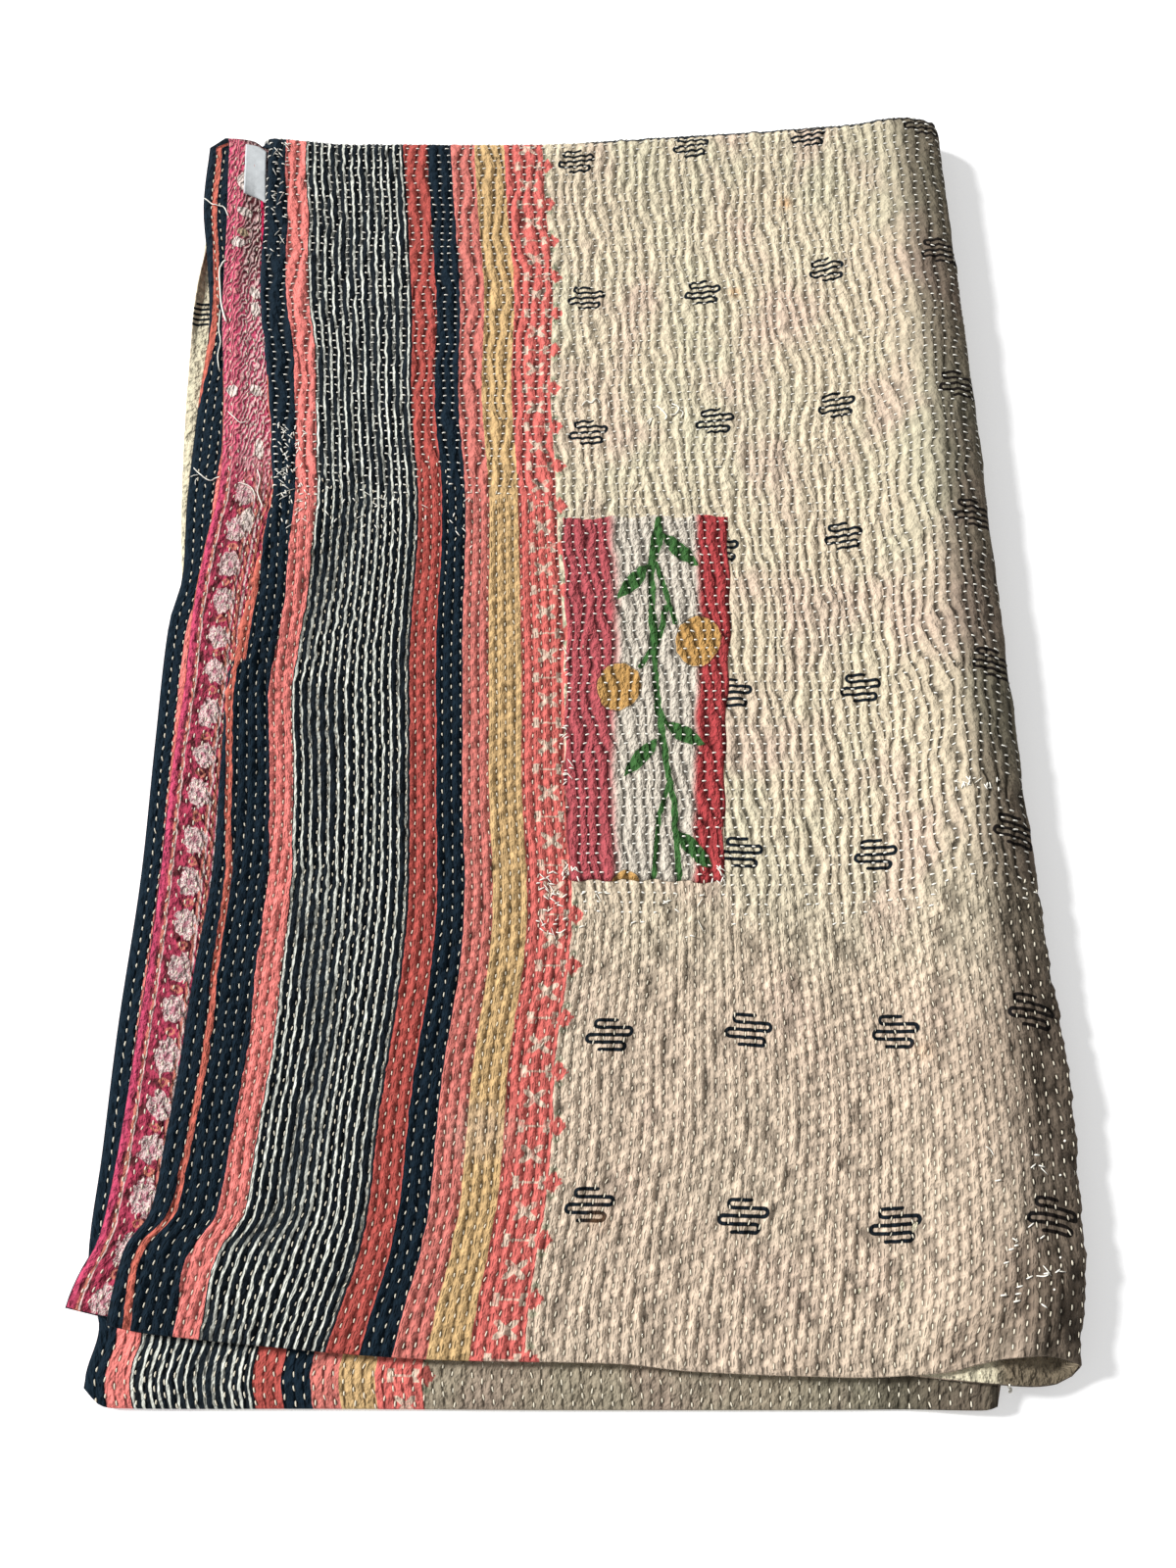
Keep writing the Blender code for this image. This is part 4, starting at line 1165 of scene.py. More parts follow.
@dataclass
class QuiltBody:
    """The whole quilt as one closed slab, finely ridged where it shows and plain where it is hidden."""

    folds: Folds
    quilting: Quilting
    crown_step: float = CROWN_ARC / 6
    second_step: float = ROW_PITCH / 2
    lower_step: float = 0.013
    near_strip: float = 0.04
    across: np.ndarray = field(init=False)
    along: np.ndarray = field(init=False)
    heights: np.ndarray = field(init=False)

    def __post_init__(self) -> None:
        """Lays out the grid's lines."""
        fine = np.arange(0, FIRST_ARC - FINE_STEP / 2, FINE_STEP)
        crown = np.arange(7) * self.crown_step + FIRST_ARC
        under = FOLD_AT + CROWN_ARC * np.array([1 / 2, 1])
        count = int((QUILT_WIDTH - SECOND_ARC) / self.second_step)
        second = QUILT_WIDTH - np.arange(count - 1, -1, -1) * self.second_step
        self.across = np.concatenate([fine, crown, under, second])
        change, coarse = round(STRIPES_END / DASH_PITCH) * DASH_PITCH, CROSS_PITCH / 2
        top = np.arange(0, change - 0.001, DASH_PITCH / 3)
        top = np.concatenate([top, np.arange(change, UPPER_LENGTH - coarse / 2, coarse)])
        arc = UPPER_LENGTH + np.arange(7) * FAR_FOLD_LENGTH / 6
        lower_count = int((LOWER_LENGTH - self.near_strip) / self.lower_step)
        lower = arc[-1] + np.arange(1, lower_count + 1) * self.lower_step
        near = np.linspace(QUILT_LENGTH - self.near_strip, QUILT_LENGTH, 11)
        self.along = np.concatenate([top, arc, lower[lower < near[0] - 0.004], near])
        self.fine_columns = len(fine) + len(crown) + len(under) - 1
        self.fine_rows = len(top) + len(arc) - 1
        fine_across = self.across[: self.fine_columns + 1, None]
        self.heights = self.quilting.relief(fine_across, self.along[None, : self.fine_rows + 1])

    def column(self, across: float) -> int:
        """The grid line nearest to a place across."""
        return int(np.argmin(np.abs(self.across - across)))

    def row(self, along: float) -> int:
        """The grid line nearest to a place along."""
        return int(np.argmin(np.abs(self.along - along)))

    def blocks(self) -> list[Block]:
        """The rectangles that tile both faces."""
        end_column, end_row = len(self.across) - 1, len(self.along) - 1
        fine_column, fine_row = self.fine_columns, self.fine_rows
        front_strip, back_strip = self.column(FRONT_STRIP_AT), self.column(BACK_STRIP_AT)
        near_row = self.row(QUILT_LENGTH - self.near_strip)
        tuck_row = self.row(TUCK_AT)
        first_strip = self.column(FIRST_STRIP_AT)
        by_fold, past_fold = (self.column(place) for place in LONG_FOLD_SPAN)
        far_row, past_far = (self.row(place) for place in FAR_FOLD_SPAN)
        hidden_first = stops(first_strip, by_fold, 16) + stops(by_fold, fine_column, 8)[1:]
        hidden_second = stops(fine_column, past_fold, 4) + stops(past_fold, back_strip, 12)[1:]
        front_second = stops(fine_column, past_fold, 4) + stops(past_fold, front_strip, 12)[1:]
        upper_rows = stops(tuck_row, far_row, 12) + stops(far_row, fine_row, 5)[1:]
        lower_rows = stops(fine_row, past_far, 2) + stops(past_far, near_row, 4)[1:]
        whole_front = front_second + stops(front_strip, end_column, 6)[1:]
        whole_first = stops(0, first_strip, 6) + hidden_first[1:]
        whole_second = hidden_second + stops(back_strip, end_column, 6)[1:]
        right_half = range(fine_column, end_column + 1)
        front_right, back_right = range(front_strip, end_column + 1), range(back_strip, end_column + 1)
        front, back = Side.FRONT, Side.BACK
        return [
            Block(front, range(fine_column + 1), range(fine_row + 1), 0.005, 0.59, 0.005, 0.96),
            Block(front, whole_front, stops(0, tuck_row, tuck_row) + upper_rows[1:], 0.86, 0.92, 0.01, 0.3),
            Block(front, whole_first, lower_rows + [end_row], 0.86, 0.92, 0.32, 0.62),
            Block(front, front_second, lower_rows, 0.86, 0.92, 0.64, 0.94),
            Block(front, front_right, range(fine_row, near_row + 1), 0.6, 0.645, 0.005, 0.94),
            Block(front, right_half, range(near_row, end_row + 1), 0.655, 0.695, 0.005, 0.6, True),
            Block(back, whole_first, stops(0, tuck_row, tuck_row) + upper_rows[1:], 0.93, 0.99, 0.01, 0.3),
            Block(back, right_half, stops(0, tuck_row, 2), 0.655, 0.685, 0.62, 0.995, True),
            Block(back, hidden_second, upper_rows, 0.93, 0.99, 0.32, 0.62),
            Block(back, back_right, stops(tuck_row, fine_row, 3), 0.705, 0.755, 0.005, 0.94),
            Block(back, whole_second, lower_rows + [end_row], 0.93, 0.99, 0.64, 0.94),
            Block(back, hidden_first, lower_rows + [end_row], 0.765, 0.785, 0.005, 0.94),
            Block(back, stops(0, first_strip, 2), range(fine_row, end_row + 1), 0.795, 0.835, 0.005, 0.94),
        ]

    def offsets(self, side: Side, column: np.ndarray, row: np.ndarray) -> np.ndarray:
        """How far each grid point stands from the cloth's middle, with its ridges.

        Args:
            side: the front or the back.
            column: the points' lines across.
            row: the points' lines along.

        Returns:
            The offset of each point.
        """
        across, along = self.across[column], self.along[row]
        from_side = np.minimum(across, QUILT_WIDTH - across)
        from_hem = np.minimum(from_side, np.minimum(along, QUILT_LENGTH - along))
        offset = HALF * (HEM_PINCH + (1 - HEM_PINCH) * ease(from_hem / HEM_WIDTH)) * side.value
        fine = (column <= self.fine_columns) & (row <= self.fine_rows) & (side is Side.FRONT)
        raised = self.heights[np.minimum(column, self.fine_columns), np.minimum(row, self.fine_rows)]
        offset = offset + np.where(fine, raised, 0.0)
        second = across > SECOND_ARC + 0.01
        from_edge = QUILT_WIDTH - across
        pucker = 0.0005 * swell(across, along, 0.008, 0.012, 14)
        plain = (-0.0008 * np.cos(math.tau * from_edge / ROW_PITCH) + pucker) * ease(from_hem / 0.008)
        if side is Side.FRONT:
            past_fold = along > UPPER_LENGTH + FAR_FOLD_LENGTH
            shows = second & past_fold & ((from_edge < 0.046) | (along > 2.062))
            return offset + np.where(shows, plain, 0.0)
        roll = ROLL_HEIGHT * bell((from_edge - ROLL_INSET) / ROLL_WIDTH)
        roll = roll * ease((along - UPPER_LENGTH / 2 - 0.15) / 0.11) * ease((UPPER_LENGTH - along) / FAR_FADE)
        on_strip = second & (along < UPPER_LENGTH)
        shows = on_strip & ((from_edge < 0.058) | (along < 0.028))
        return offset - np.where(on_strip, roll, 0.0) - np.where(shows, plain, 0.0)

    def build(self) -> bpy.types.Object:
        """Makes the mesh, its maps and its two finishes."""
        blocks = self.blocks()
        size = (len(self.across), len(self.along))
        there = {side: np.zeros(size, bool) for side in Side}
        for block in blocks:
            there[block.side][np.ix_(list(block.columns), list(block.rows))] = True
        for line in (np.s_[0, :], np.s_[-1, :], np.s_[:, 0], np.s_[:, -1]):
            both = there[Side.FRONT][line] | there[Side.BACK][line]
            there[Side.FRONT][line] = both
            there[Side.BACK][line] = both
        number, columns, rows, offsets, sides = {}, [], [], [], []
        start = 0
        for side in Side:
            column, row = np.nonzero(there[side])
            number[side] = np.full(size, -1)
            number[side][column, row] = start + np.arange(len(column))
            start += len(column)
            columns.append(column)
            rows.append(row)
            offsets.append(self.offsets(side, column, row))
            sides.append(np.full(len(column), side.value))
        loop = self.rim_loop(there[Side.FRONT])
        rim_column, rim_row = loop[:, 0], loop[:, 1]
        rim_start = start
        across = np.concatenate([self.across[c] for c in (*columns, rim_column)])
        along = np.concatenate([self.along[r] for r in (*rows, rim_row)])
        offset = np.concatenate([*offsets, np.zeros(len(loop))])
        bulge = 0.001
        out_across = np.where(rim_column == 0, -bulge, np.where(rim_column == size[0] - 1, bulge, 0.0))
        out_along = np.where(rim_row == 0, -bulge, np.where(rim_row == size[1] - 1, bulge, 0.0))
        points = self.folds.place(across, along, offset)
        points[rim_start:] += self.outward(across[rim_start:], along[rim_start:], out_across, out_along)
        faces, face_block = [], []
        for number_of_block, block in enumerate(blocks):
            made = self.block_faces(block, number[block.side], there[block.side])
            faces += made
            face_block += [number_of_block] * len(made)
        front_rim, back_rim = (number[side][rim_column, rim_row] for side in Side)
        middle = rim_start + np.arange(len(loop))
        for upper, lower in ((front_rim, middle), (middle, back_rim)):
            strip = np.stack([upper, lower, np.roll(lower, -1), np.roll(upper, -1)], 1).tolist()
            faces += strip
            face_block += [-1] * len(strip)
        thing = make_piece("kantha_quilt_body", points, faces)
        self.add_maps(thing.data, blocks, np.array(face_block), across, along, loop)
        fine_side = np.concatenate([*sides, np.zeros(len(loop))])
        lying = self.heights_at(across, along)
        on_top = (fine_side > 0) & (across < SECOND_ARC) & (along < 1.05)
        hollow = np.where(on_top, np.clip(-lying / 0.0014, 0, 1), 0)
        crossed = np.where(on_top, self.quilting.crossed(across, along), 0)
        for name, values in (("Hollow", hollow), ("Crossed", crossed)):
            layer = thing.data.attributes.new(name, "FLOAT", "POINT")
            layer.data.foreach_set("value", values.astype(np.float32))
        return thing

    def heights_at(self, across: np.ndarray, along: np.ndarray) -> np.ndarray:
        """The top layer's relief as the mesh has it, between its grid lines too."""
        fine_across, fine_along = self.across[: self.fine_columns + 1], self.along[: self.fine_rows + 1]
        column = np.clip(np.searchsorted(fine_across, across) - 1, 0, len(fine_across) - 2)
        row = np.clip(np.searchsorted(fine_along, along) - 1, 0, len(fine_along) - 2)
        wide = fine_across[column + 1] - fine_across[column]
        right = np.clip((across - fine_across[column]) / wide, 0, 1)
        up = np.clip((along - fine_along[row]) / (fine_along[row + 1] - fine_along[row]), 0, 1)
        low = self.heights[column, row] * (1 - right) + self.heights[column + 1, row] * right
        high = self.heights[column, row + 1] * (1 - right) + self.heights[column + 1, row + 1] * right
        return low * (1 - up) + high * up

    def outward(
        self, across: np.ndarray, along: np.ndarray, out_across: np.ndarray, out_along: np.ndarray
    ) -> np.ndarray:
        """The small push that rounds the rim, in the direction that leaves the cloth."""
        step = 0.002
        inner_across = across - np.sign(out_across) * step
        inner_along = along - np.sign(out_along) * step
        away = self.folds.place(across, along, 0.0) - self.folds.place(inner_across, inner_along, 0.0)
        length = np.linalg.norm(away, axis=1, keepdims=True)
        return away / np.maximum(length, 1e-9) * np.hypot(out_across, out_along)[:, None]

    def rim_loop(self, there: np.ndarray) -> np.ndarray:
        """The grid points round the edge, so that the front lies on the left."""
        last_column, last_row = there.shape[0] - 1, there.shape[1] - 1
        near = [(c, 0) for c in np.nonzero(there[:, 0])[0]]
        second = [(last_column, r) for r in np.nonzero(there[-1, :])[0][1:]]
        far = [(c, last_row) for c in np.nonzero(there[:, -1])[0][::-1][1:]]
        first = [(0, r) for r in np.nonzero(there[0, :])[0][::-1][1:-1]]
        return np.array(near + second + far + first)

    @staticmethod
    def block_faces(block: Block, number: np.ndarray, there: np.ndarray) -> list[list[int]]:
        """One face for each cell of a block, with every grid point on its border.

        Args:
            block: the rectangle and its stops.
            number: each grid point's vertex.
            there: which grid points have a vertex on this side.

        Returns:
            The faces, facing out.
        """
        columns, rows = list(block.columns), list(block.rows)
        dense = len(columns) == columns[-1] - columns[0] + 1 and len(rows) == rows[-1] - rows[0] + 1
        if dense:
            part = number[columns[0] : columns[-1] + 1, rows[0] : rows[-1] + 1]
            corners = (part[:-1, :-1], part[1:, :-1], part[1:, 1:], part[:-1, 1:])
            quads = np.stack([corner.ravel() for corner in corners], 1)
            return (quads if block.side is Side.FRONT else quads[:, ::-1]).tolist()
        faces = []
        for left, right in zip(columns, columns[1:]):
            for low, high in zip(rows, rows[1:]):
                near = [(c, low) for c in range(left, right) if there[c, low]]
                away = [(right, r) for r in range(low, high) if there[right, r]]
                far = [(c, high) for c in range(right, left, -1) if there[c, high]]
                back = [(left, r) for r in range(high, low, -1) if there[left, r]]
                face = [int(number[place]) for place in near + away + far + back]
                faces.append(face if block.side is Side.FRONT else face[::-1])
        return faces

    def add_maps(
        self,
        data: bpy.types.Mesh,
        blocks: Sequence[Block],
        face_block: np.ndarray,
        across: np.ndarray,
        along: np.ndarray,
        loop: np.ndarray,
    ) -> None:
        """Adds the cloth's map, the motifs' map and the bake's map, and says which faces are the back."""
        vertex = corner_vertices(data)
        totals = np.zeros(len(data.polygons), np.int32)
        data.polygons.foreach_get("loop_total", totals)
        face_of = np.repeat(np.arange(len(totals)), totals)
        block_of = face_block[face_of]
        is_back = np.array([block.side is Side.BACK for block in blocks] + [False])[face_block]
        data.polygons.foreach_set("material_index", is_back.astype(np.int32))
        here, there = across[vertex], along[vertex]
        band = np.where(is_back[face_of], here, Cut.band(here, there))
        add_map(data, "Cloth", np.stack([band, there], 1))
        add_map(data, "Motif", self.motif_places(here, there, face_of, totals, is_back))
        add_map(data, "Quilt", self.row_places(here, there, face_of, totals))
        add_map(data, "Dash", self.dash_places(here, there))
        bake = np.zeros((len(vertex), 2))
        for index, block in enumerate(blocks):
            chosen = block_of == index
            right = (here[chosen] - self.across[block.columns[0]]) / (
                self.across[block.columns[-1]] - self.across[block.columns[0]]
            )
            up = (there[chosen] - self.along[block.rows[0]]) / (
                self.along[block.rows[-1]] - self.along[block.rows[0]]
            )
            if block.swapped:
                right, up = up, right
            bake[chosen, 0] = block.left + right * (block.right - block.left)
            bake[chosen, 1] = block.low + up * (block.high - block.low)
        self.bake_rim(bake, block_of, face_of, len(loop))
        add_map(data, "OFBake", bake)

    def dash_places(self, across: np.ndarray, along: np.ndarray) -> np.ndarray:
        """Each corner's place beside the nearest row, and along it in dashes."""
        row = np.round(across / ROW_PITCH)
        return np.stack([across - row * ROW_PITCH, along / DASH_PITCH - self.quilting.dash_start(row)], 1)

    def row_places(
        self, across: np.ndarray, along: np.ndarray, face_of: np.ndarray, totals: np.ndarray
    ) -> np.ndarray:
        """Each corner's place in rows and in ridges, whole numbers being in the valleys."""
        ropes = self.quilting.ropes(across, along)
        first = ropes[np.concatenate([[0], np.cumsum(totals)[:-1]])][face_of]
        rows = np.where(across < QUILT_WIDTH / 2, across, QUILT_WIDTH - across) / ROW_PITCH
        return np.stack([rows, first + (ropes - first + 0.5) % 1.0 - 0.5], 1)

    @staticmethod
    def bake_rim(bake: np.ndarray, block_of: np.ndarray, face_of: np.ndarray, around: int) -> None:
        """Lays the rim's two bands along one edge of the bake's square."""
        chosen = np.nonzero(block_of == -1)[0]
        face = face_of[chosen] - face_of[chosen][0]
        band, part = face // around, face % around
        corner = np.arange(len(chosen)) % 4
        column, part = part // 400, part % 400
        right = np.where((corner == 1) | (corner == 2), 1.0, 0.0)
        up = np.where(corner >= 2, 1.0, 0.0)
        bake[chosen, 0] = 0.84 + (column * 2 + band) * 0.0022 + right * 0.0018
        bake[chosen, 1] = 0.005 + (part + up) / 400 * 0.98

    @staticmethod
    def motif_places(
        across: np.ndarray, along: np.ndarray, face_of: np.ndarray, totals: np.ndarray, is_back: np.ndarray
    ) -> np.ndarray:
        """Places from the middle of the nearest meander, or far off where there is none."""
        starts = np.concatenate([[0], np.cumsum(totals)[:-1]])
        centre_across = np.add.reduceat(across, starts) / totals
        centre_along = np.add.reduceat(along, starts) / totals
        found = np.full((len(across), 2), 10.0)
        spots = [
            (
                MOTIF_COLUMNS[one.column] + one.aside,
                MOTIF_ROW_START + MOTIF_ROW_PITCH * one.row + one.off,
                one.tilt,
            )
            for one in MOTIFS
        ]
        for at_across, at_along, tilt in (*spots, LOWER_MOTIF):
            near = (np.abs(centre_across - at_across) < 0.022) & (np.abs(centre_along - at_along) < 0.02)
            chosen = (near & (~is_back | (centre_along > UPPER_LENGTH)))[face_of]
            turn = math.radians(tilt)
            x, y = across[chosen] - at_across, along[chosen] - at_along
            found[chosen, 0] = x * math.cos(turn) + y * math.sin(turn)
            found[chosen, 1] = y * math.cos(turn) - x * math.sin(turn)
        return found


class Darn(NamedTuple):
    """A place with stray, mended stitches lying every way."""

    across: float
    along: float
    wide: float
    long: float
    count: int


DARNS = (
    Darn(0.046, 0.675, 0.024, 0.1, 60), Darn(0.258, 0.318, 0.022, 0.05, 34),
    Darn(0.273, 0.34, 0.012, 0.012, 12), Darn(0.276, 0.47, 0.006, 0.12, 16),
    Darn(0.388, 0.34, 0.01, 0.012, 10), Darn(0.33, 0.305, 0.1, 0.04, 14),
    Darn(0.59, 0.396, 0.035, 0.008, 14), Darn(0.588, 0.085, 0.04, 0.11, 18),
    Darn(0.12, 0.64, 0.18, 0.05, 28), Darn(0.04, 0.96, 0.012, 0.12, 26),
)


@dataclass
class RunningStitch:
    """The cream thread: small lozenges that lie in the ridges' valleys."""

    body: QuiltBody
    folds: Folds
    quilting: Quilting
    dash_length: float = 0.004
    cross_length: float = 0.0042
    dash_half: float = 0.00054
    cross_half: float = 0.00068
    rise: float = 0.00072
    seed: int = 5

    def lengthwise(self) -> np.ndarray:
        """Where the lengthwise dashes of the top layer lie."""
        dice = np.random.default_rng(self.seed)
        row = np.arange(1, int(FOLD_AT / ROW_PITCH))
        step = np.arange(0, int(0.76 / DASH_PITCH))
        rows, steps = np.meshgrid(row, step, indexing="ij")
        along = (steps + self.quilting.dash_start(rows) % 1.0) * DASH_PITCH
        along = along + dice.normal(0, 0.0002, rows.shape)
        across = rows * ROW_PITCH + dice.normal(0, 0.00015, rows.shape)
        share = self.quilting.crossed(across, along)
        kept = (share < dice.uniform(0.5, 0.99, share.shape)) & (along > 0.003)
        return np.stack([across[kept], along[kept]], 1)

    def crosswise(self) -> np.ndarray:
        """Where the crosswise stitches of the top layer lie: in the valleys, row by row."""
        dice = np.random.default_rng(self.seed + 1)
        found = []
        fine = np.arange(0.004, FOLD_AT - 0.002, 0.0003)
        for step in range(int(0.28 / CROSS_PITCH), int(1.045 / CROSS_PITCH)):
            along = step * CROSS_PITCH + 0.0006 * swell(fine, 0.0 * fine + step, 0.05, 9.0, 40)
            part = self.quilting.ropes(fine, along) % 1.0
            jumps = np.nonzero(np.abs(np.diff(part)) > 0.5)[0]
            share = self.quilting.crossed(fine[jumps], along[jumps])
            kept = (share > dice.uniform(0.02, 0.5, share.shape)) & (dice.uniform(0, 1, share.shape) > 0.04)
            found.append(np.stack([fine[jumps][kept], along[jumps][kept]], 1))
        return np.concatenate(found)

    def lozenges(
        self,
        name: str,
        places: np.ndarray,
        way: Way,
        side: Side,
        size: tuple[float, float],
        ground: np.ndarray,
        slant: float = 0.16,
    ) -> tuple[np.ndarray, list[list[int]]]:
        """Copies one small lozenge to every place.

        Args:
            name: only for the log.
            places: across and along for each stitch.
            way: which way they lie.
            side: the face that they lie on.
            size: the length from end to end, and half the width.
            ground: the cloth's offset under each place.
            slant: how much their slants differ.

        Returns:
            The points and the faces.
        """
        dice = np.random.default_rng(len(places))
        count = len(places)
        stations = np.array([-1.0, -0.62, 0.0, 0.62, 1.0])
        reach = size[0] / 2 * dice.uniform(0.82, 1.15, count)
        tilt = dice.normal(0, slant, count)
        points_run, points_side, points_up = [], [], []
        for station in stations:
            if abs(station) == 1:
                points_run.append(reach * station)
                points_side.append(np.zeros(count))
                points_up.append(np.full(count, -0.0004))
                continue
            wide = size[1] * (1.0 if station == 0 else 0.85)
            high = self.rise * (1.0 if station == 0 else 0.62)
            for across_side, up in ((wide, 0.35), (0.0, 1.0), (-wide, 0.35), (0.0, -0.6)):
                points_run.append(reach * station)
                points_side.append(np.full(count, across_side))
                points_up.append(np.full(count, high * up))
        run, aside, up = (np.stack(part, 1) for part in (points_run, points_side, points_up))
        aside = aside + run * tilt[:, None]
        if way is Way.ACROSS:
            across, along = places[:, :1] + run, places[:, 1:] + aside
        else:
            across, along = places[:, :1] + aside, places[:, 1:] + run
        points = self.folds.place(across, along, ground[:, None] + side.value * up)
        rings = [1, 5, 9]
        template = [[0, rings[0] + (k + 1) % 4, rings[0] + k] for k in range(4)]
        for first, second in ((1, 5), (5, 9)):
            template += [[first + k, first + (k + 1) % 4, second + (k + 1) % 4, second + k] for k in range(4)]
        template += [[13, rings[2] + k, rings[2] + (k + 1) % 4] for k in range(4)]
        turned = (way is Way.ACROSS) != (side is Side.BACK)
        if turned:
            template = [face[::-1] for face in template]
        faces = [[index + 14 * number for index in face] for number in range(count) for face in template]
        log.info("%s: %d stitches", name, count)
        return points.reshape(-1, 3), faces

    def top_ground(self, places: np.ndarray) -> np.ndarray:
        """The top face's offset under each place, or the patch's."""
        across, along = places[:, 0], places[:, 1]
        ground = HALF + self.body.heights_at(across, along) + 0.0002
        return ground + np.where(VinePatch.covers(across, along), VinePatch.proud, 0)

    def strips(self) -> list[tuple[np.ndarray, Side]]:
        """Where the dashes lie on what shows of the lower layers."""
        dice = np.random.default_rng(self.seed + 2)

        def rows_of(insets: np.ndarray, start: float, end: float, pitch: float) -> np.ndarray:
            """A field of dashes on rows at these insets from the second edge."""
            step = np.arange(start, end, pitch)
            inset, along = np.meshgrid(insets, step, indexing="ij")
            along = along + 0.5 * pitch * (np.round(inset / ROW_PITCH) % 2)
            along = along + dice.normal(0, 0.0009, along.shape)
            return np.stack([(QUILT_WIDTH - inset).ravel(), along.ravel()], 1)

        near = np.arange(1, 90) * ROW_PITCH
        left = np.arange(1, 7) * ROW_PITCH
        pitch = DASH_PITCH
        return [
            (rows_of(left, 1.065, 2.05, pitch), Side.FRONT),
            (rows_of(near, 2.064, 2.094, pitch), Side.FRONT),
            (rows_of(left, 0.006, 1.005, pitch * 1.15), Side.BACK),
        ]

    def build(self) -> list[bpy.types.Object]:
        """Makes the joined pieces of thread."""
        made = []
        dash, cross = (self.dash_length, self.dash_half), (self.cross_length, self.cross_half)
        places = self.lengthwise()
        points, faces = self.lozenges(
            "lengthwise", places, Way.ALONG, Side.FRONT, dash, self.top_ground(places)
        )
        for strip, side in self.strips():
            ground = np.full(len(strip), side.value * (HALF - 0.0003))
            more, more_faces = self.lozenges("strip", strip, Way.ALONG, side, cross, ground)
            faces += [[index + len(points) for index in face] for face in more_faces]
            points = np.concatenate([points, more])
        made.append(make_piece("lengthwise_stitches", points, faces))
        places = self.crosswise()
        points, faces = self.lozenges(
            "crosswise", places, Way.ACROSS, Side.FRONT, cross, self.top_ground(places)
        )
        for number, darn in enumerate(DARNS):
            dice = np.random.default_rng(70 + number)
            spot = np.stack([
                darn.across + darn.wide * dice.uniform(-0.5, 0.5, darn.count),
                darn.along + darn.long * dice.uniform(-0.5, 0.5, darn.count),
            ], 1)
            way = Way.ACROSS if number % 2 else Way.ALONG
            lying = self.top_ground(spot) + 0.0004
            more, more_faces = self.lozenges("darn", spot, way, Side.FRONT, (0.0048, 0.00064), lying, 0.9)
            faces += [[index + len(points) for index in face] for face in more_faces]
            points = np.concatenate([points, more])
        made.append(make_piece("crosswise_stitches", points, faces))
        finishes = (SoftCotton("pale_thread", PALE_THREAD), SoftCotton("white_thread", THREAD))
        for piece, finish in zip(made, finishes):
            piece.data.materials.append(finish.make())
        return made


# ---- The patch, the label and the loose threads ----
class Stem(NamedTuple):
    """One straight run of the vine, from end to end."""

    x1: float
    y1: float
    x2: float
    y2: float
    half: float


class Leaf(NamedTuple):
    """One pointed leaf: its middle, half its length and width, and its slant."""

    x: float
    y: float
    long: float
    wide: float
    slant: float


class Fruit(NamedTuple):
    """One round fruit: its middle and its two half sizes."""

    x: float
    y: float
    wide: float
    high: float


STEMS = (
    Stem(0.0735, 0.304, 0.0665, 0.266, 0.0022), Stem(0.0665, 0.266, 0.065, 0.222, 0.0024),
    Stem(0.065, 0.222, 0.0668, 0.183, 0.003), Stem(0.0668, 0.183, 0.07, 0.152, 0.0022),
    Stem(0.07, 0.152, 0.0765, 0.114, 0.0026), Stem(0.0765, 0.114, 0.085, 0.064, 0.0024),
    Stem(0.085, 0.064, 0.089, 0.0, 0.0024), Stem(0.07, 0.264, 0.076, 0.24, 0.002),
    Stem(0.076, 0.24, 0.0825, 0.212, 0.0019), Stem(0.076, 0.225, 0.069, 0.195, 0.0024),
    Stem(0.0655, 0.19, 0.057, 0.174, 0.002), Stem(0.074, 0.135, 0.082, 0.122, 0.002),
    Stem(0.082, 0.078, 0.0735, 0.05, 0.002), Stem(0.0735, 0.05, 0.068, 0.0, 0.0022),
)
LEAVES = (
    Leaf(0.0715, 0.284, 0.021, 0.0048, 80), Leaf(0.089, 0.277, 0.02, 0.0064, -50),
    Leaf(0.052, 0.249, 0.02, 0.0062, 52), Leaf(0.093, 0.118, 0.018, 0.0066, -30),
    Leaf(0.06, 0.098, 0.02, 0.006, 50), Leaf(0.1, 0.026, 0.021, 0.0066, -45),
)
FRUITS = (
    Fruit(0.1005, 0.196, 0.0172, 0.0215), Fruit(0.0405, 0.157, 0.0172, 0.02),
    Fruit(0.046, 0.0, 0.011, 0.007),
)


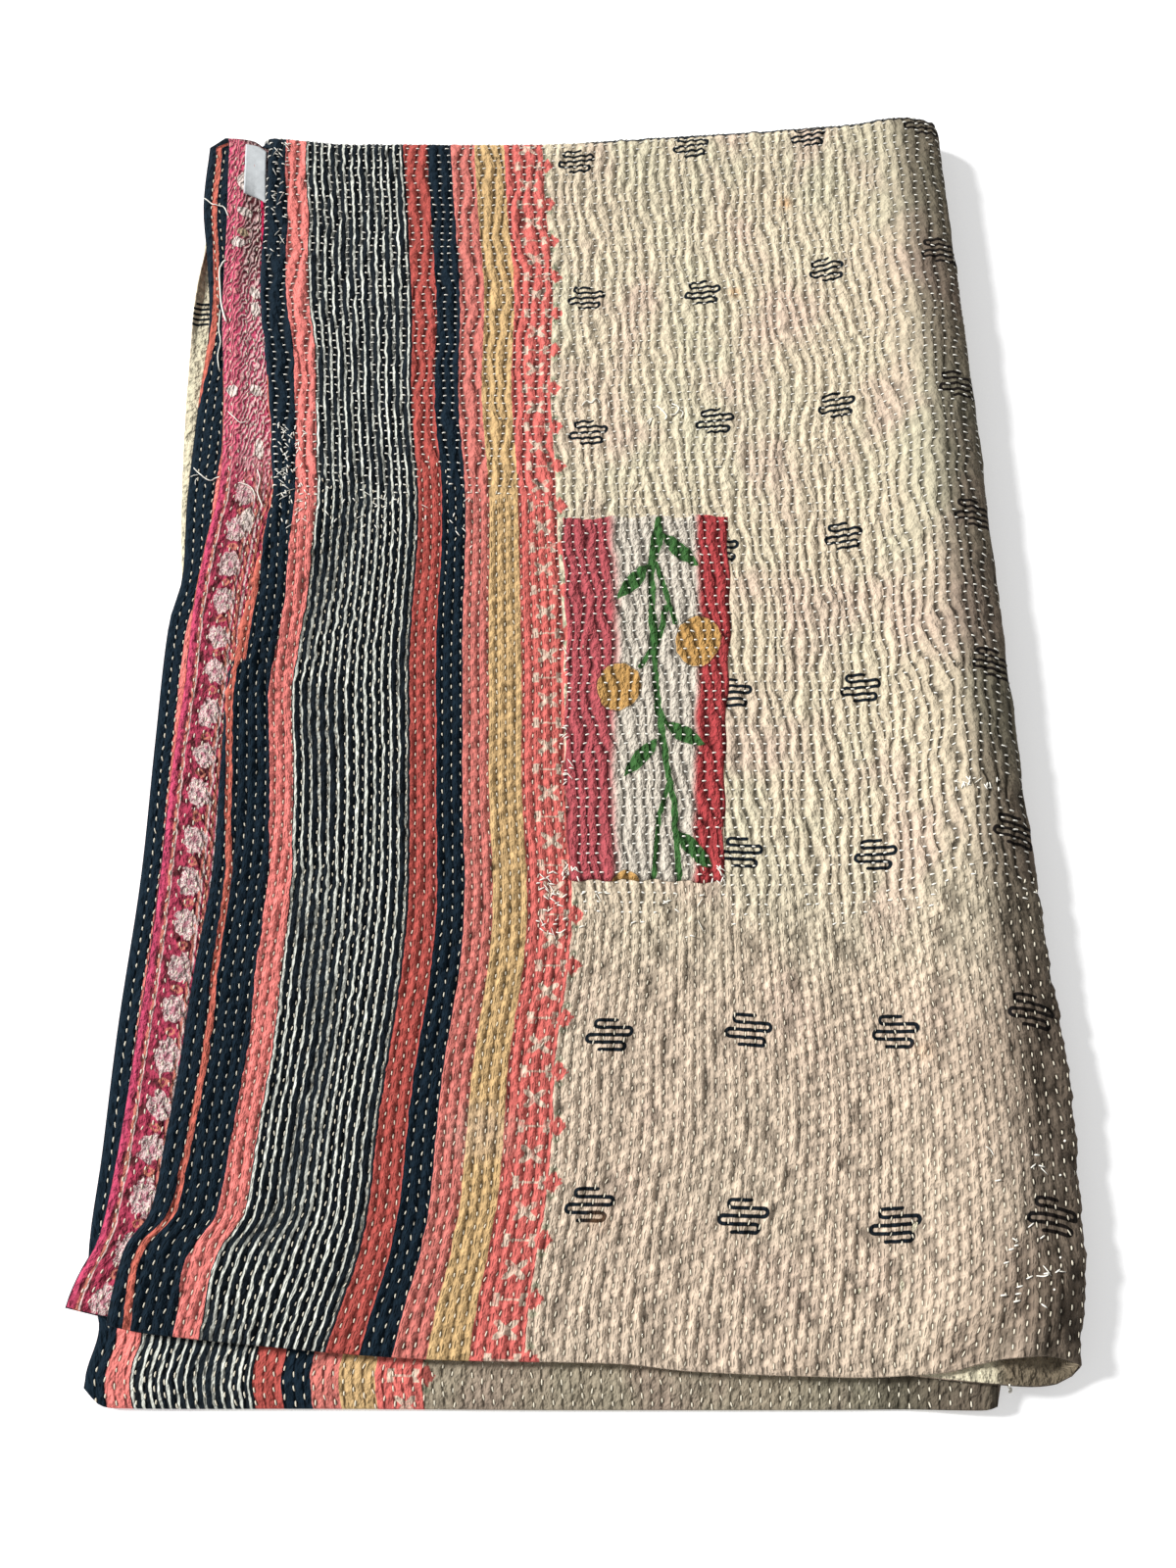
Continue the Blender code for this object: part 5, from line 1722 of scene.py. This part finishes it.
@dataclass(frozen=True)
class VineCloth:
    """The patch's cloth: a red stripe at each side and a leafy vine on the pale middle."""

    @staticmethod
    def stem(x: Value, y: Value, run: Stem) -> Value:
        """How far inside one run of the stem a place lies."""
        ahead, up = run.x2 - run.x1, run.y2 - run.y1
        part = (((x - run.x1) * ahead + (y - run.y1) * up) / (ahead * ahead + up * up)).most(0.0).least(1.0)
        off_x, off_y = x - run.x1 - part * ahead, y - run.y1 - part * up
        return run.half - (off_x * off_x + off_y * off_y).power(0.5)

    @staticmethod
    def leaf(x: Value, y: Value, leaf: Leaf) -> Value:
        """How far inside one leaf a place lies."""
        turn = math.radians(leaf.slant)
        ahead = (x - leaf.x) * math.cos(turn) + (y - leaf.y) * math.sin(turn)
        beside = abs((y - leaf.y) * math.cos(turn) - (x - leaf.x) * math.sin(turn))
        return (1 - (ahead / leaf.long) * (ahead / leaf.long)) * leaf.wide - beside

    @staticmethod
    def fruit(x: Value, y: Value, fruit: Fruit) -> Value:
        """How far inside one fruit a place lies."""
        off_x, off_y = (x - fruit.x) / fruit.wide, (y - fruit.y) / fruit.high
        return (1 - (off_x * off_x + off_y * off_y).power(0.5)) * fruit.wide

    def make(self) -> bpy.types.Material:
        """The finish."""
        mill = Mill("vine_cloth")
        x, y = mill.places("Cloth")
        edge = x + (mill.noise(x, y, 0.012, 0.02, 2, 2) - 0.5) * 0.006
        pale, rose, red = tone(218, 208, 192), tone(188, 90, 96), tone(182, 72, 74)
        colour = mill.mix(rose, pale, edge.ramp(0.033, 0.044))
        colour = mill.mix(colour, red, edge.ramp(0.098, 0.105))
        bent_x = x + (mill.noise(x, y, 0.009, 0.009, 2, 61) - 0.5) * 0.004
        bent_y = y + (mill.noise(x, y, 0.009, 0.009, 2, 62) - 0.5) * 0.004
        green = fruits = None
        parts = [self.stem(bent_x, bent_y, run) for run in STEMS]
        parts += [self.leaf(bent_x, bent_y, one) for one in LEAVES]
        for inside in parts:
            green = inside if green is None else green.most(inside)
        for inside in (self.fruit(bent_x, bent_y, one) for one in FRUITS):
            fruits = inside if fruits is None else fruits.most(inside)
        ink, leafy = tone(44, 40, 36), tone(66, 108, 58)
        shine = mill.noise(x, y, 0.004, 0.008, 2, 63)
        colour = mill.mix(colour, mill.shade(leafy, 0.7 + shine * 0.6), green.ramp(-0.0003, 0.0002))
        colour = mill.mix(colour, ink, green.within(-0.001, -0.0004, 0.0002) * shine.ramp(0.42, 0.52) * 0.8)
        ochre = mill.shade(tone(206, 160, 96), 0.7 + shine * 0.5)
        colour = mill.mix(colour, ochre, fruits.ramp(-0.0003, 0.0002))
        colour = mill.mix(colour, ink, fruits.within(-0.0009, -0.0003, 0.0002) * 0.8)
        rope = mill.places("Quilt")[1]
        stray = (mill.noise(x, y, 0.0045, 0.007, 2, 50) - 0.5) * 0.5
        crease = (abs((rope + stray).fract() - 0.5) * 2).ramp(0.56, 0.97)
        fade = mill.noise(x, y, 0.012, 0.03, 4, 20)
        threads = mill.noise(x, y, 0.0009, 0.0016, 2, 30)
        lumps = mill.noise(x, y, 0.0036, 0.0052, 2, 40).ramp(0.28, 0.66)
        # Random wear tone, and painted shade in the lows between lumps, in the relief's valleys and in the
        # creases.
        light = (1 + (fade - 0.5) * 0.4 + (threads - 0.5) * 0.4) * (0.74 + lumps * 0.3)
        light = light * (1 - mill.attribute("Hollow") * 0.5) * (1 - crease * 0.62)
        height = lumps * 1.3 + threads * 0.45 - crease * 1.2
        return mill.finish(mill.shade(colour, light), 0.92, height, 0.001)


def slab_faces(columns: int, rows: int, turned: bool = False) -> list[list[int]]:
    """Faces of a thin cloth made of two grids of points, joined around their edge.

    Args:
        columns: how many points each grid has across.
        rows: how many it has along.
        turned: whether the first grid's faces look the other way.

    Returns:
        The corners of each face, the first grid's first.
    """
    count = columns * rows
    number = np.arange(count).reshape(columns, rows)
    corners = (number[:-1, :-1], number[1:, :-1], number[1:, 1:], number[:-1, 1:])
    quads = np.stack([corner.ravel() for corner in corners], 1)
    ring = np.concatenate([number[:, 0], number[-1, 1:], number[::-1, -1][1:], number[0, ::-1][1:-1]])
    after = np.roll(ring, -1)
    if turned:
        band = np.stack([ring, after, after + count, ring + count], 1)
        return quads[:, ::-1].tolist() + (quads + count).tolist() + band.tolist()
    band = np.stack([ring, ring + count, after + count, after], 1)
    return quads.tolist() + (quads[:, ::-1] + count).tolist() + band.tolist()


@dataclass
class VinePatch:
    """The sewn-on patch: a thin cloth on the top layer's ridges."""

    body: QuiltBody
    folds: Folds
    near_end: tuple[float, float] = (0.2715, 0.3912)
    far_end: tuple[float, float] = (0.278, 0.4166)
    near: float = 0.3345
    far: float = 0.642
    proud: float = 0.0009
    columns: int = 64
    rows: int = 84

    @classmethod
    def covers(cls, across: np.ndarray, along: np.ndarray) -> np.ndarray:
        """Whether the patch lies over each place."""
        up = (along - cls.near) / (cls.far - cls.near)
        left, right = (near + (far - near) * up for near, far in zip(cls.near_end, cls.far_end))
        return (up > 0) & (up < 1) & (across > left) & (across < right)

    def build(self) -> bpy.types.Object:
        """Makes the patch."""
        right = np.linspace(0, 1, self.columns + 1)[:, None]
        up = np.linspace(0, 1, self.rows + 1)[None, :]
        uneven = 0.0012 * np.sin(right * 23 + 1) * bell((up - 1) * 8)
        uneven = uneven - 0.001 * np.sin(right * 31) * bell(up * 8)
        along = self.near + (self.far - self.near) * up + uneven
        near = self.near_end[0] + (self.near_end[1] - self.near_end[0]) * right
        far = self.far_end[0] + (self.far_end[1] - self.far_end[0]) * right
        across = near + (far - near) * up + 0.0009 * np.sin(up * 40) * np.abs(right - 0.5) * 2
        ground = HALF + self.body.heights_at(across, along)
        wide, long = PATCH_FLAT
        from_side = np.minimum(np.minimum(right, 1 - right) * wide, np.minimum(up, 1 - up) * long)
        thick = self.proud * (0.45 + 0.55 * ease(from_side / 0.004))
        thick = thick + 0.0004 * bell((from_side - 0.003) / 0.0022)
        top = self.folds.place(across, along, ground + thick)
        under = self.folds.place(across, along, ground + 0.00012)
        points = np.concatenate([top.reshape(-1, 3), under.reshape(-1, 3)])
        thing = make_piece("vine_patch_cloth", points, slab_faces(self.columns + 1, self.rows + 1))
        vertex = corner_vertices(thing.data) % ground.size
        flat = np.stack([(right * wide + 0 * up).ravel(), (0 * right + up * long).ravel()], 1)
        add_map(thing.data, "Cloth", flat[vertex])
        ropes = self.body.quilting.ropes(across, along)
        phase = np.stack([across / ROW_PITCH, ropes], -1).reshape(-1, 2)[vertex]
        first = np.repeat(phase[::4, 1], 4)
        phase[:, 1] = first + (phase[:, 1] - first + 0.5) % 1.0 - 0.5
        add_map(thing.data, "Quilt", phase)
        hollow = np.clip(-(ground - HALF) / 0.0014, 0, 1).ravel()
        values = np.concatenate([hollow, hollow]).astype(np.float32)
        thing.data.attributes.new("Hollow", "FLOAT", "POINT").data.foreach_set("value", values)
        thing.data.materials.append(VineCloth().make())
        return thing


@dataclass
class SideLabel:
    """The blank label, sewn beside the frayed edge of the back."""

    folds: Folds
    left: float = 0.016
    right: float = 0.036
    near: float = 0.96
    far: float = 1.015
    thickness: float = 0.0005
    columns: int = 12
    rows: int = 24

    def build(self) -> bpy.types.Object:
        """Makes the label, a little curled at its corners."""
        right = np.linspace(0, 1, self.columns + 1)[:, None]
        up = np.linspace(0, 1, self.rows + 1)[None, :]
        inset = self.right + (self.left - self.right) * right
        across, along = QUILT_WIDTH - inset + 0 * up, self.near + (self.far - self.near) * up + 0 * right
        roll = ROLL_HEIGHT * bell((inset - ROLL_INSET) / ROLL_WIDTH) * ease((UPPER_LENGTH - along) / FAR_FADE)
        curl = 0.0012 * np.abs(right - 0.5) * 2 * bell((up - 0.0) * 3) + 0.0006 * np.sin(up * 9 + 1) ** 2
        ground = HALF + 0.0006 + roll + curl
        top = self.folds.place(across, along, -(ground + self.thickness))
        under = self.folds.place(across, along, -ground)
        points = np.concatenate([top.reshape(-1, 3), under.reshape(-1, 3)])
        faces = slab_faces(self.columns + 1, self.rows + 1, turned=True)
        thing = make_piece("blank_side_label", points, faces)
        thing.data.materials.append(SoftCotton("label_satin", tone(196, 200, 202), 0.45, 0.3).make())
        return thing


class Strand(NamedTuple):
    """One loose thread: half its thickness, how far it stands off, and the pixels where the view sees it."""

    half: float
    off: float
    pixels: tuple[tuple[float, float], ...]


STRANDS = (
    Strand(0.0005, 0.0012, (
        (208.9, 203.3), (212.8, 205.9), (217.9, 209.7), (224.2, 211.4), (229.3, 212.9), (231.9, 218.0),
        (233.4, 221.8),
    )),
    Strand(0.00085, 0.0006, (
        (231.3, 265.8), (226.1, 271.6), (224.2, 280.5), (224.9, 294.5), (226.1, 308.6), (228.7, 321.3),
        (231.3, 329.0),
    )),
    Strand(0.0006, 0.0008, ((225.0, 317.0), (223.7, 336.1), (225.6, 349.0), (222.5, 363.0), (224.1, 379.0))),
    Strand(0.00045, 0.0009, ((232.9, 420.4), (239.0, 426.0), (246.0, 432.0), (254.0, 430.0))),
    Strand(0.0005, 0.0014, (
        (198.2, 478.3), (201.4, 481.7), (205.3, 485.1), (209.8, 489.0), (215.2, 491.3), (220.6, 488.6),
        (224.4, 487.3),
    )),
    Strand(0.00035, 0.0008, ((194.9, 487.0), (198.4, 485.5), (203.0, 485.1))),
    Strand(0.00035, 0.0008, ((203.0, 487.4), (199.9, 490.5), (199.7, 495.5))),
    Strand(0.00045, 0.0009, ((243.5, 493.2), (248.9, 494.7), (256.5, 498.1), (259.6, 503.5), (260.3, 511.1))),
    Strand(0.0006, 0.0007, ((262.8, 479.5), (265.7, 490.0), (263.0, 501.8), (265.8, 511.0), (268.9, 518.1))),
    Strand(0.0006, 0.0007, ((593.7, 414.5), (598.8, 409.4), (603.9, 411.4), (609.0, 407.3), (612.6, 412.4))),
    Strand(0.00055, 0.0006, ((621.2, 410.4), (621.2, 416.5))),
    Strand(0.0009, 0.0004, ((638.6, 419.1), (641.1, 421.6))),
    Strand(0.00065, 0.0007, ((669.7, 414.5), (675.3, 418.6), (680.4, 425.2), (678.4, 428.8))),
    Strand(0.0006, 0.0006, ((660.0, 431.3), (665.1, 426.7), (662.0, 433.9))),
    Strand(0.0006, 0.0007, ((685.5, 412.4), (692.7, 416.5), (689.6, 422.7), (684.0, 423.7))),
    Strand(0.0006, 0.0007, ((693.7, 418.6), (697.2, 421.6), (694.7, 426.7))),
    Strand(0.0004, 0.0006, ((1005.7, 1169.8), (1010.3, 1173.3), (1013.8, 1179.0))),
    Strand(0.0004, 0.0006, ((1061.9, 1191.6), (1068.8, 1198.5))),
    Strand(0.00045, 0.0006, ((1064.2, 1291.4), (1072.2, 1301.7))),
    Strand(0.0004, 0.0006, ((1079.0, 1297.0), (1087.2, 1297.7))),
    Strand(0.00045, 0.0006, ((1057.3, 1301.7), (1064.0, 1302.3), (1070.0, 1300.5))),
    Strand(0.0009, 0.0003, ((1087.2, 1163.0), (1085.8, 1165.2))),
    Strand(0.0008, 0.0003, ((1082.6, 1198.5), (1081.2, 1199.6))),
    Strand(0.0008, 0.0003, ((1082.6, 1282.2), (1081.6, 1284.2))),
    Strand(0.0008, 0.0003, ((1076.3, 1314.9), (1075.3, 1316.7))),
    Strand(0.001, 0.0004, ((1030.0, 1413.0), (1031.5, 1417.5), (1029.0, 1421.0))),
    Strand(0.0005, 0.0006, ((262.9, 159.9), (267.4, 163.3), (271.6, 159.3))),
)
FLOOR_CLEARANCE = 0.004  # where a thread lies that has nothing under it


class LooseThreads:
    """The frayed and darned ends of cream thread, lying on the quilt."""

    SIDES = 6

    @staticmethod
    def seen(pixel: tuple[float, float], ground: BVHTree) -> Vector:
        """Where the view's ray through a pixel meets the quilt, or else the level just above the floor."""
        wide, high = PICTURE
        start = Vector(VIEW_FROM)
        aim = Vector((pixel[0] - wide / 2, high / 2 - pixel[1], -high * LENS / SENSOR))
        aim.rotate(Euler(VIEW_TURN))
        hit = ground.ray_cast(start, aim)[0]
        return start + aim * ((FLOOR_CLEARANCE - start.z) / aim.z) if hit is None else hit

    @staticmethod
    def smooth(places: np.ndarray) -> np.ndarray:
        """A strand's places with two more between each pair."""
        if len(places) < 3:
            return np.concatenate([places[:1], places.mean(0, keepdims=True), places[1:]])
        curves = [Curve(range(len(places)), places[:, axis]) for axis in (0, 1)]
        steps = np.linspace(0, len(places) - 1, 3 * (len(places) - 1) + 1)
        return np.stack([curve.at(steps) for curve in curves], 1)

    @classmethod
    def build(cls, quilt: bpy.types.Object) -> bpy.types.Object:
        """Lays a thin tube along each strand, on what lies under it."""
        corners = [vertex.co.copy() for vertex in quilt.data.vertices]
        ground = BVHTree.FromPolygons(corners, [tuple(polygon.vertices) for polygon in quilt.data.polygons])
        points, faces = [], []
        for strand in STRANDS:
            path = []
            for x, y in cls.smooth(np.array([cls.seen(pixel, ground)[:2] for pixel in strand.pixels])):
                hit = ground.ray_cast(Vector((x, y, 0.2)), Vector((0, 0, -1)))[0]
                path.append((x, y, (hit.z if hit else FLOOR_CLEARANCE) + strand.off))
            path = np.array(path)
            path[1:-1, 2] = np.maximum(path[1:-1, 2], (path[:-2, 2] + path[2:, 2]) / 2)
            ahead = np.gradient(path, axis=0)
            ahead /= np.linalg.norm(ahead, axis=1, keepdims=True)
            beside = np.cross(ahead, (0.0, 0.0, 1.0))
            beside /= np.maximum(np.linalg.norm(beside, axis=1, keepdims=True), 1e-9)
            above = np.cross(beside, ahead)
            start, count, sides = len(points), len(path), cls.SIDES
            for place in range(count):
                thin = strand.half * (0.6 if place in (0, count - 1) else 1.0)
                for side in range(sides):
                    turn = math.tau * side / sides
                    out = math.cos(turn) * beside[place] + math.sin(turn) * above[place]
                    points.append(path[place] + thin * out)
            for place in range(count - 1):
                for side in range(sides):
                    here, there = start + place * sides, start + (place + 1) * sides
                    after = (side + 1) % sides
                    faces.append([here + side, here + after, there + after, there + side])
            faces.append([start + side for side in reversed(range(sides))])
            faces.append([start + (count - 1) * sides + side for side in range(sides)])
        thing = make_piece("loose_threads", np.array(points), faces)
        thing.data.materials.append(SoftCotton("loose_thread", THREAD).make())
        return thing


class Studio:
    """The pale floor, the soft lights and the camera."""

    @staticmethod
    def floor() -> None:
        """A wide plain floor, which isn't part of the quilt."""
        bpy.ops.mesh.primitive_plane_add(size=12, location=(0, 0, -0.0003))
        thing = bpy.context.object
        thing.name = "studio_floor"
        mill = Mill("studio_floor")
        thing.data.materials.append(mill.finish((0.97, 0.97, 0.97, 1.0), 0.9, glow=0.35))

    @staticmethod
    def lights() -> None:
        """One wide soft light from the left and an even sky."""
        world = bpy.data.worlds.new("studio_sky")
        bpy.context.scene.world = world
        world.use_nodes = True
        sky = world.node_tree.nodes["Background"]
        sky.inputs[0].default_value = (1.0, 1.0, 1.0, 1.0)
        sky.inputs[1].default_value = 0.38
        lamp = bpy.data.lights.new("soft_window", "SUN")
        lamp.energy, lamp.angle = 5.0, math.radians(11)
        thing = bpy.data.objects.new("soft_window", lamp)
        thing.rotation_euler = (math.radians(-20), math.radians(-58), 0.0)
        bpy.context.scene.view_settings.view_transform = "Standard"
        bpy.context.scene.collection.objects.link(thing)

    @staticmethod
    def camera() -> None:
        """Looks down on the quilt from its near end."""
        data = bpy.data.cameras.new("view")
        data.sensor_width, data.lens, data.clip_start = SENSOR, LENS, 0.01
        thing = bpy.data.objects.new("view", data)
        thing.location = VIEW_FROM
        thing.rotation_euler = VIEW_TURN
        bpy.context.scene.collection.objects.link(thing)
        bpy.context.scene.camera = thing


def main() -> None:
    """Builds every piece, lets it ride on the frame and reports it."""
    logging.basicConfig(level=logging.INFO, format="%(name)s: %(message)s")
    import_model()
    Studio.camera()
    Studio.lights()
    Studio.floor()
    folds, quilting = Folds(), Quilting()
    body = QuiltBody(folds, quilting)
    quilt = body.build()
    quilt.data.materials.append(FrontCloth().make())
    quilt.data.materials.append(BackCloth().make())
    patch = VinePatch(body, folds).build()
    label = SideLabel(folds).build()
    stitches = [*RunningStitch(body, folds, quilting).build(), LooseThreads.build(quilt)]
    for piece, node, slot in (
        (quilt, "kantha_quilt", "kantha_quilt"),
        (patch, "vine_patch", "vine_patch"),
        (label, "side_label", "side_label"),
    ):
        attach(piece, "root")
        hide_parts(node)
    for piece in stitches:
        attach(piece, "root")
    for piece in (quilt, patch, label, *stitches):
        faces = sum(len(polygon.vertices) - 2 for polygon in piece.data.polygons)
        log.info("%s: %d triangles", piece.name, faces)


if __name__ == "__main__":
    main()
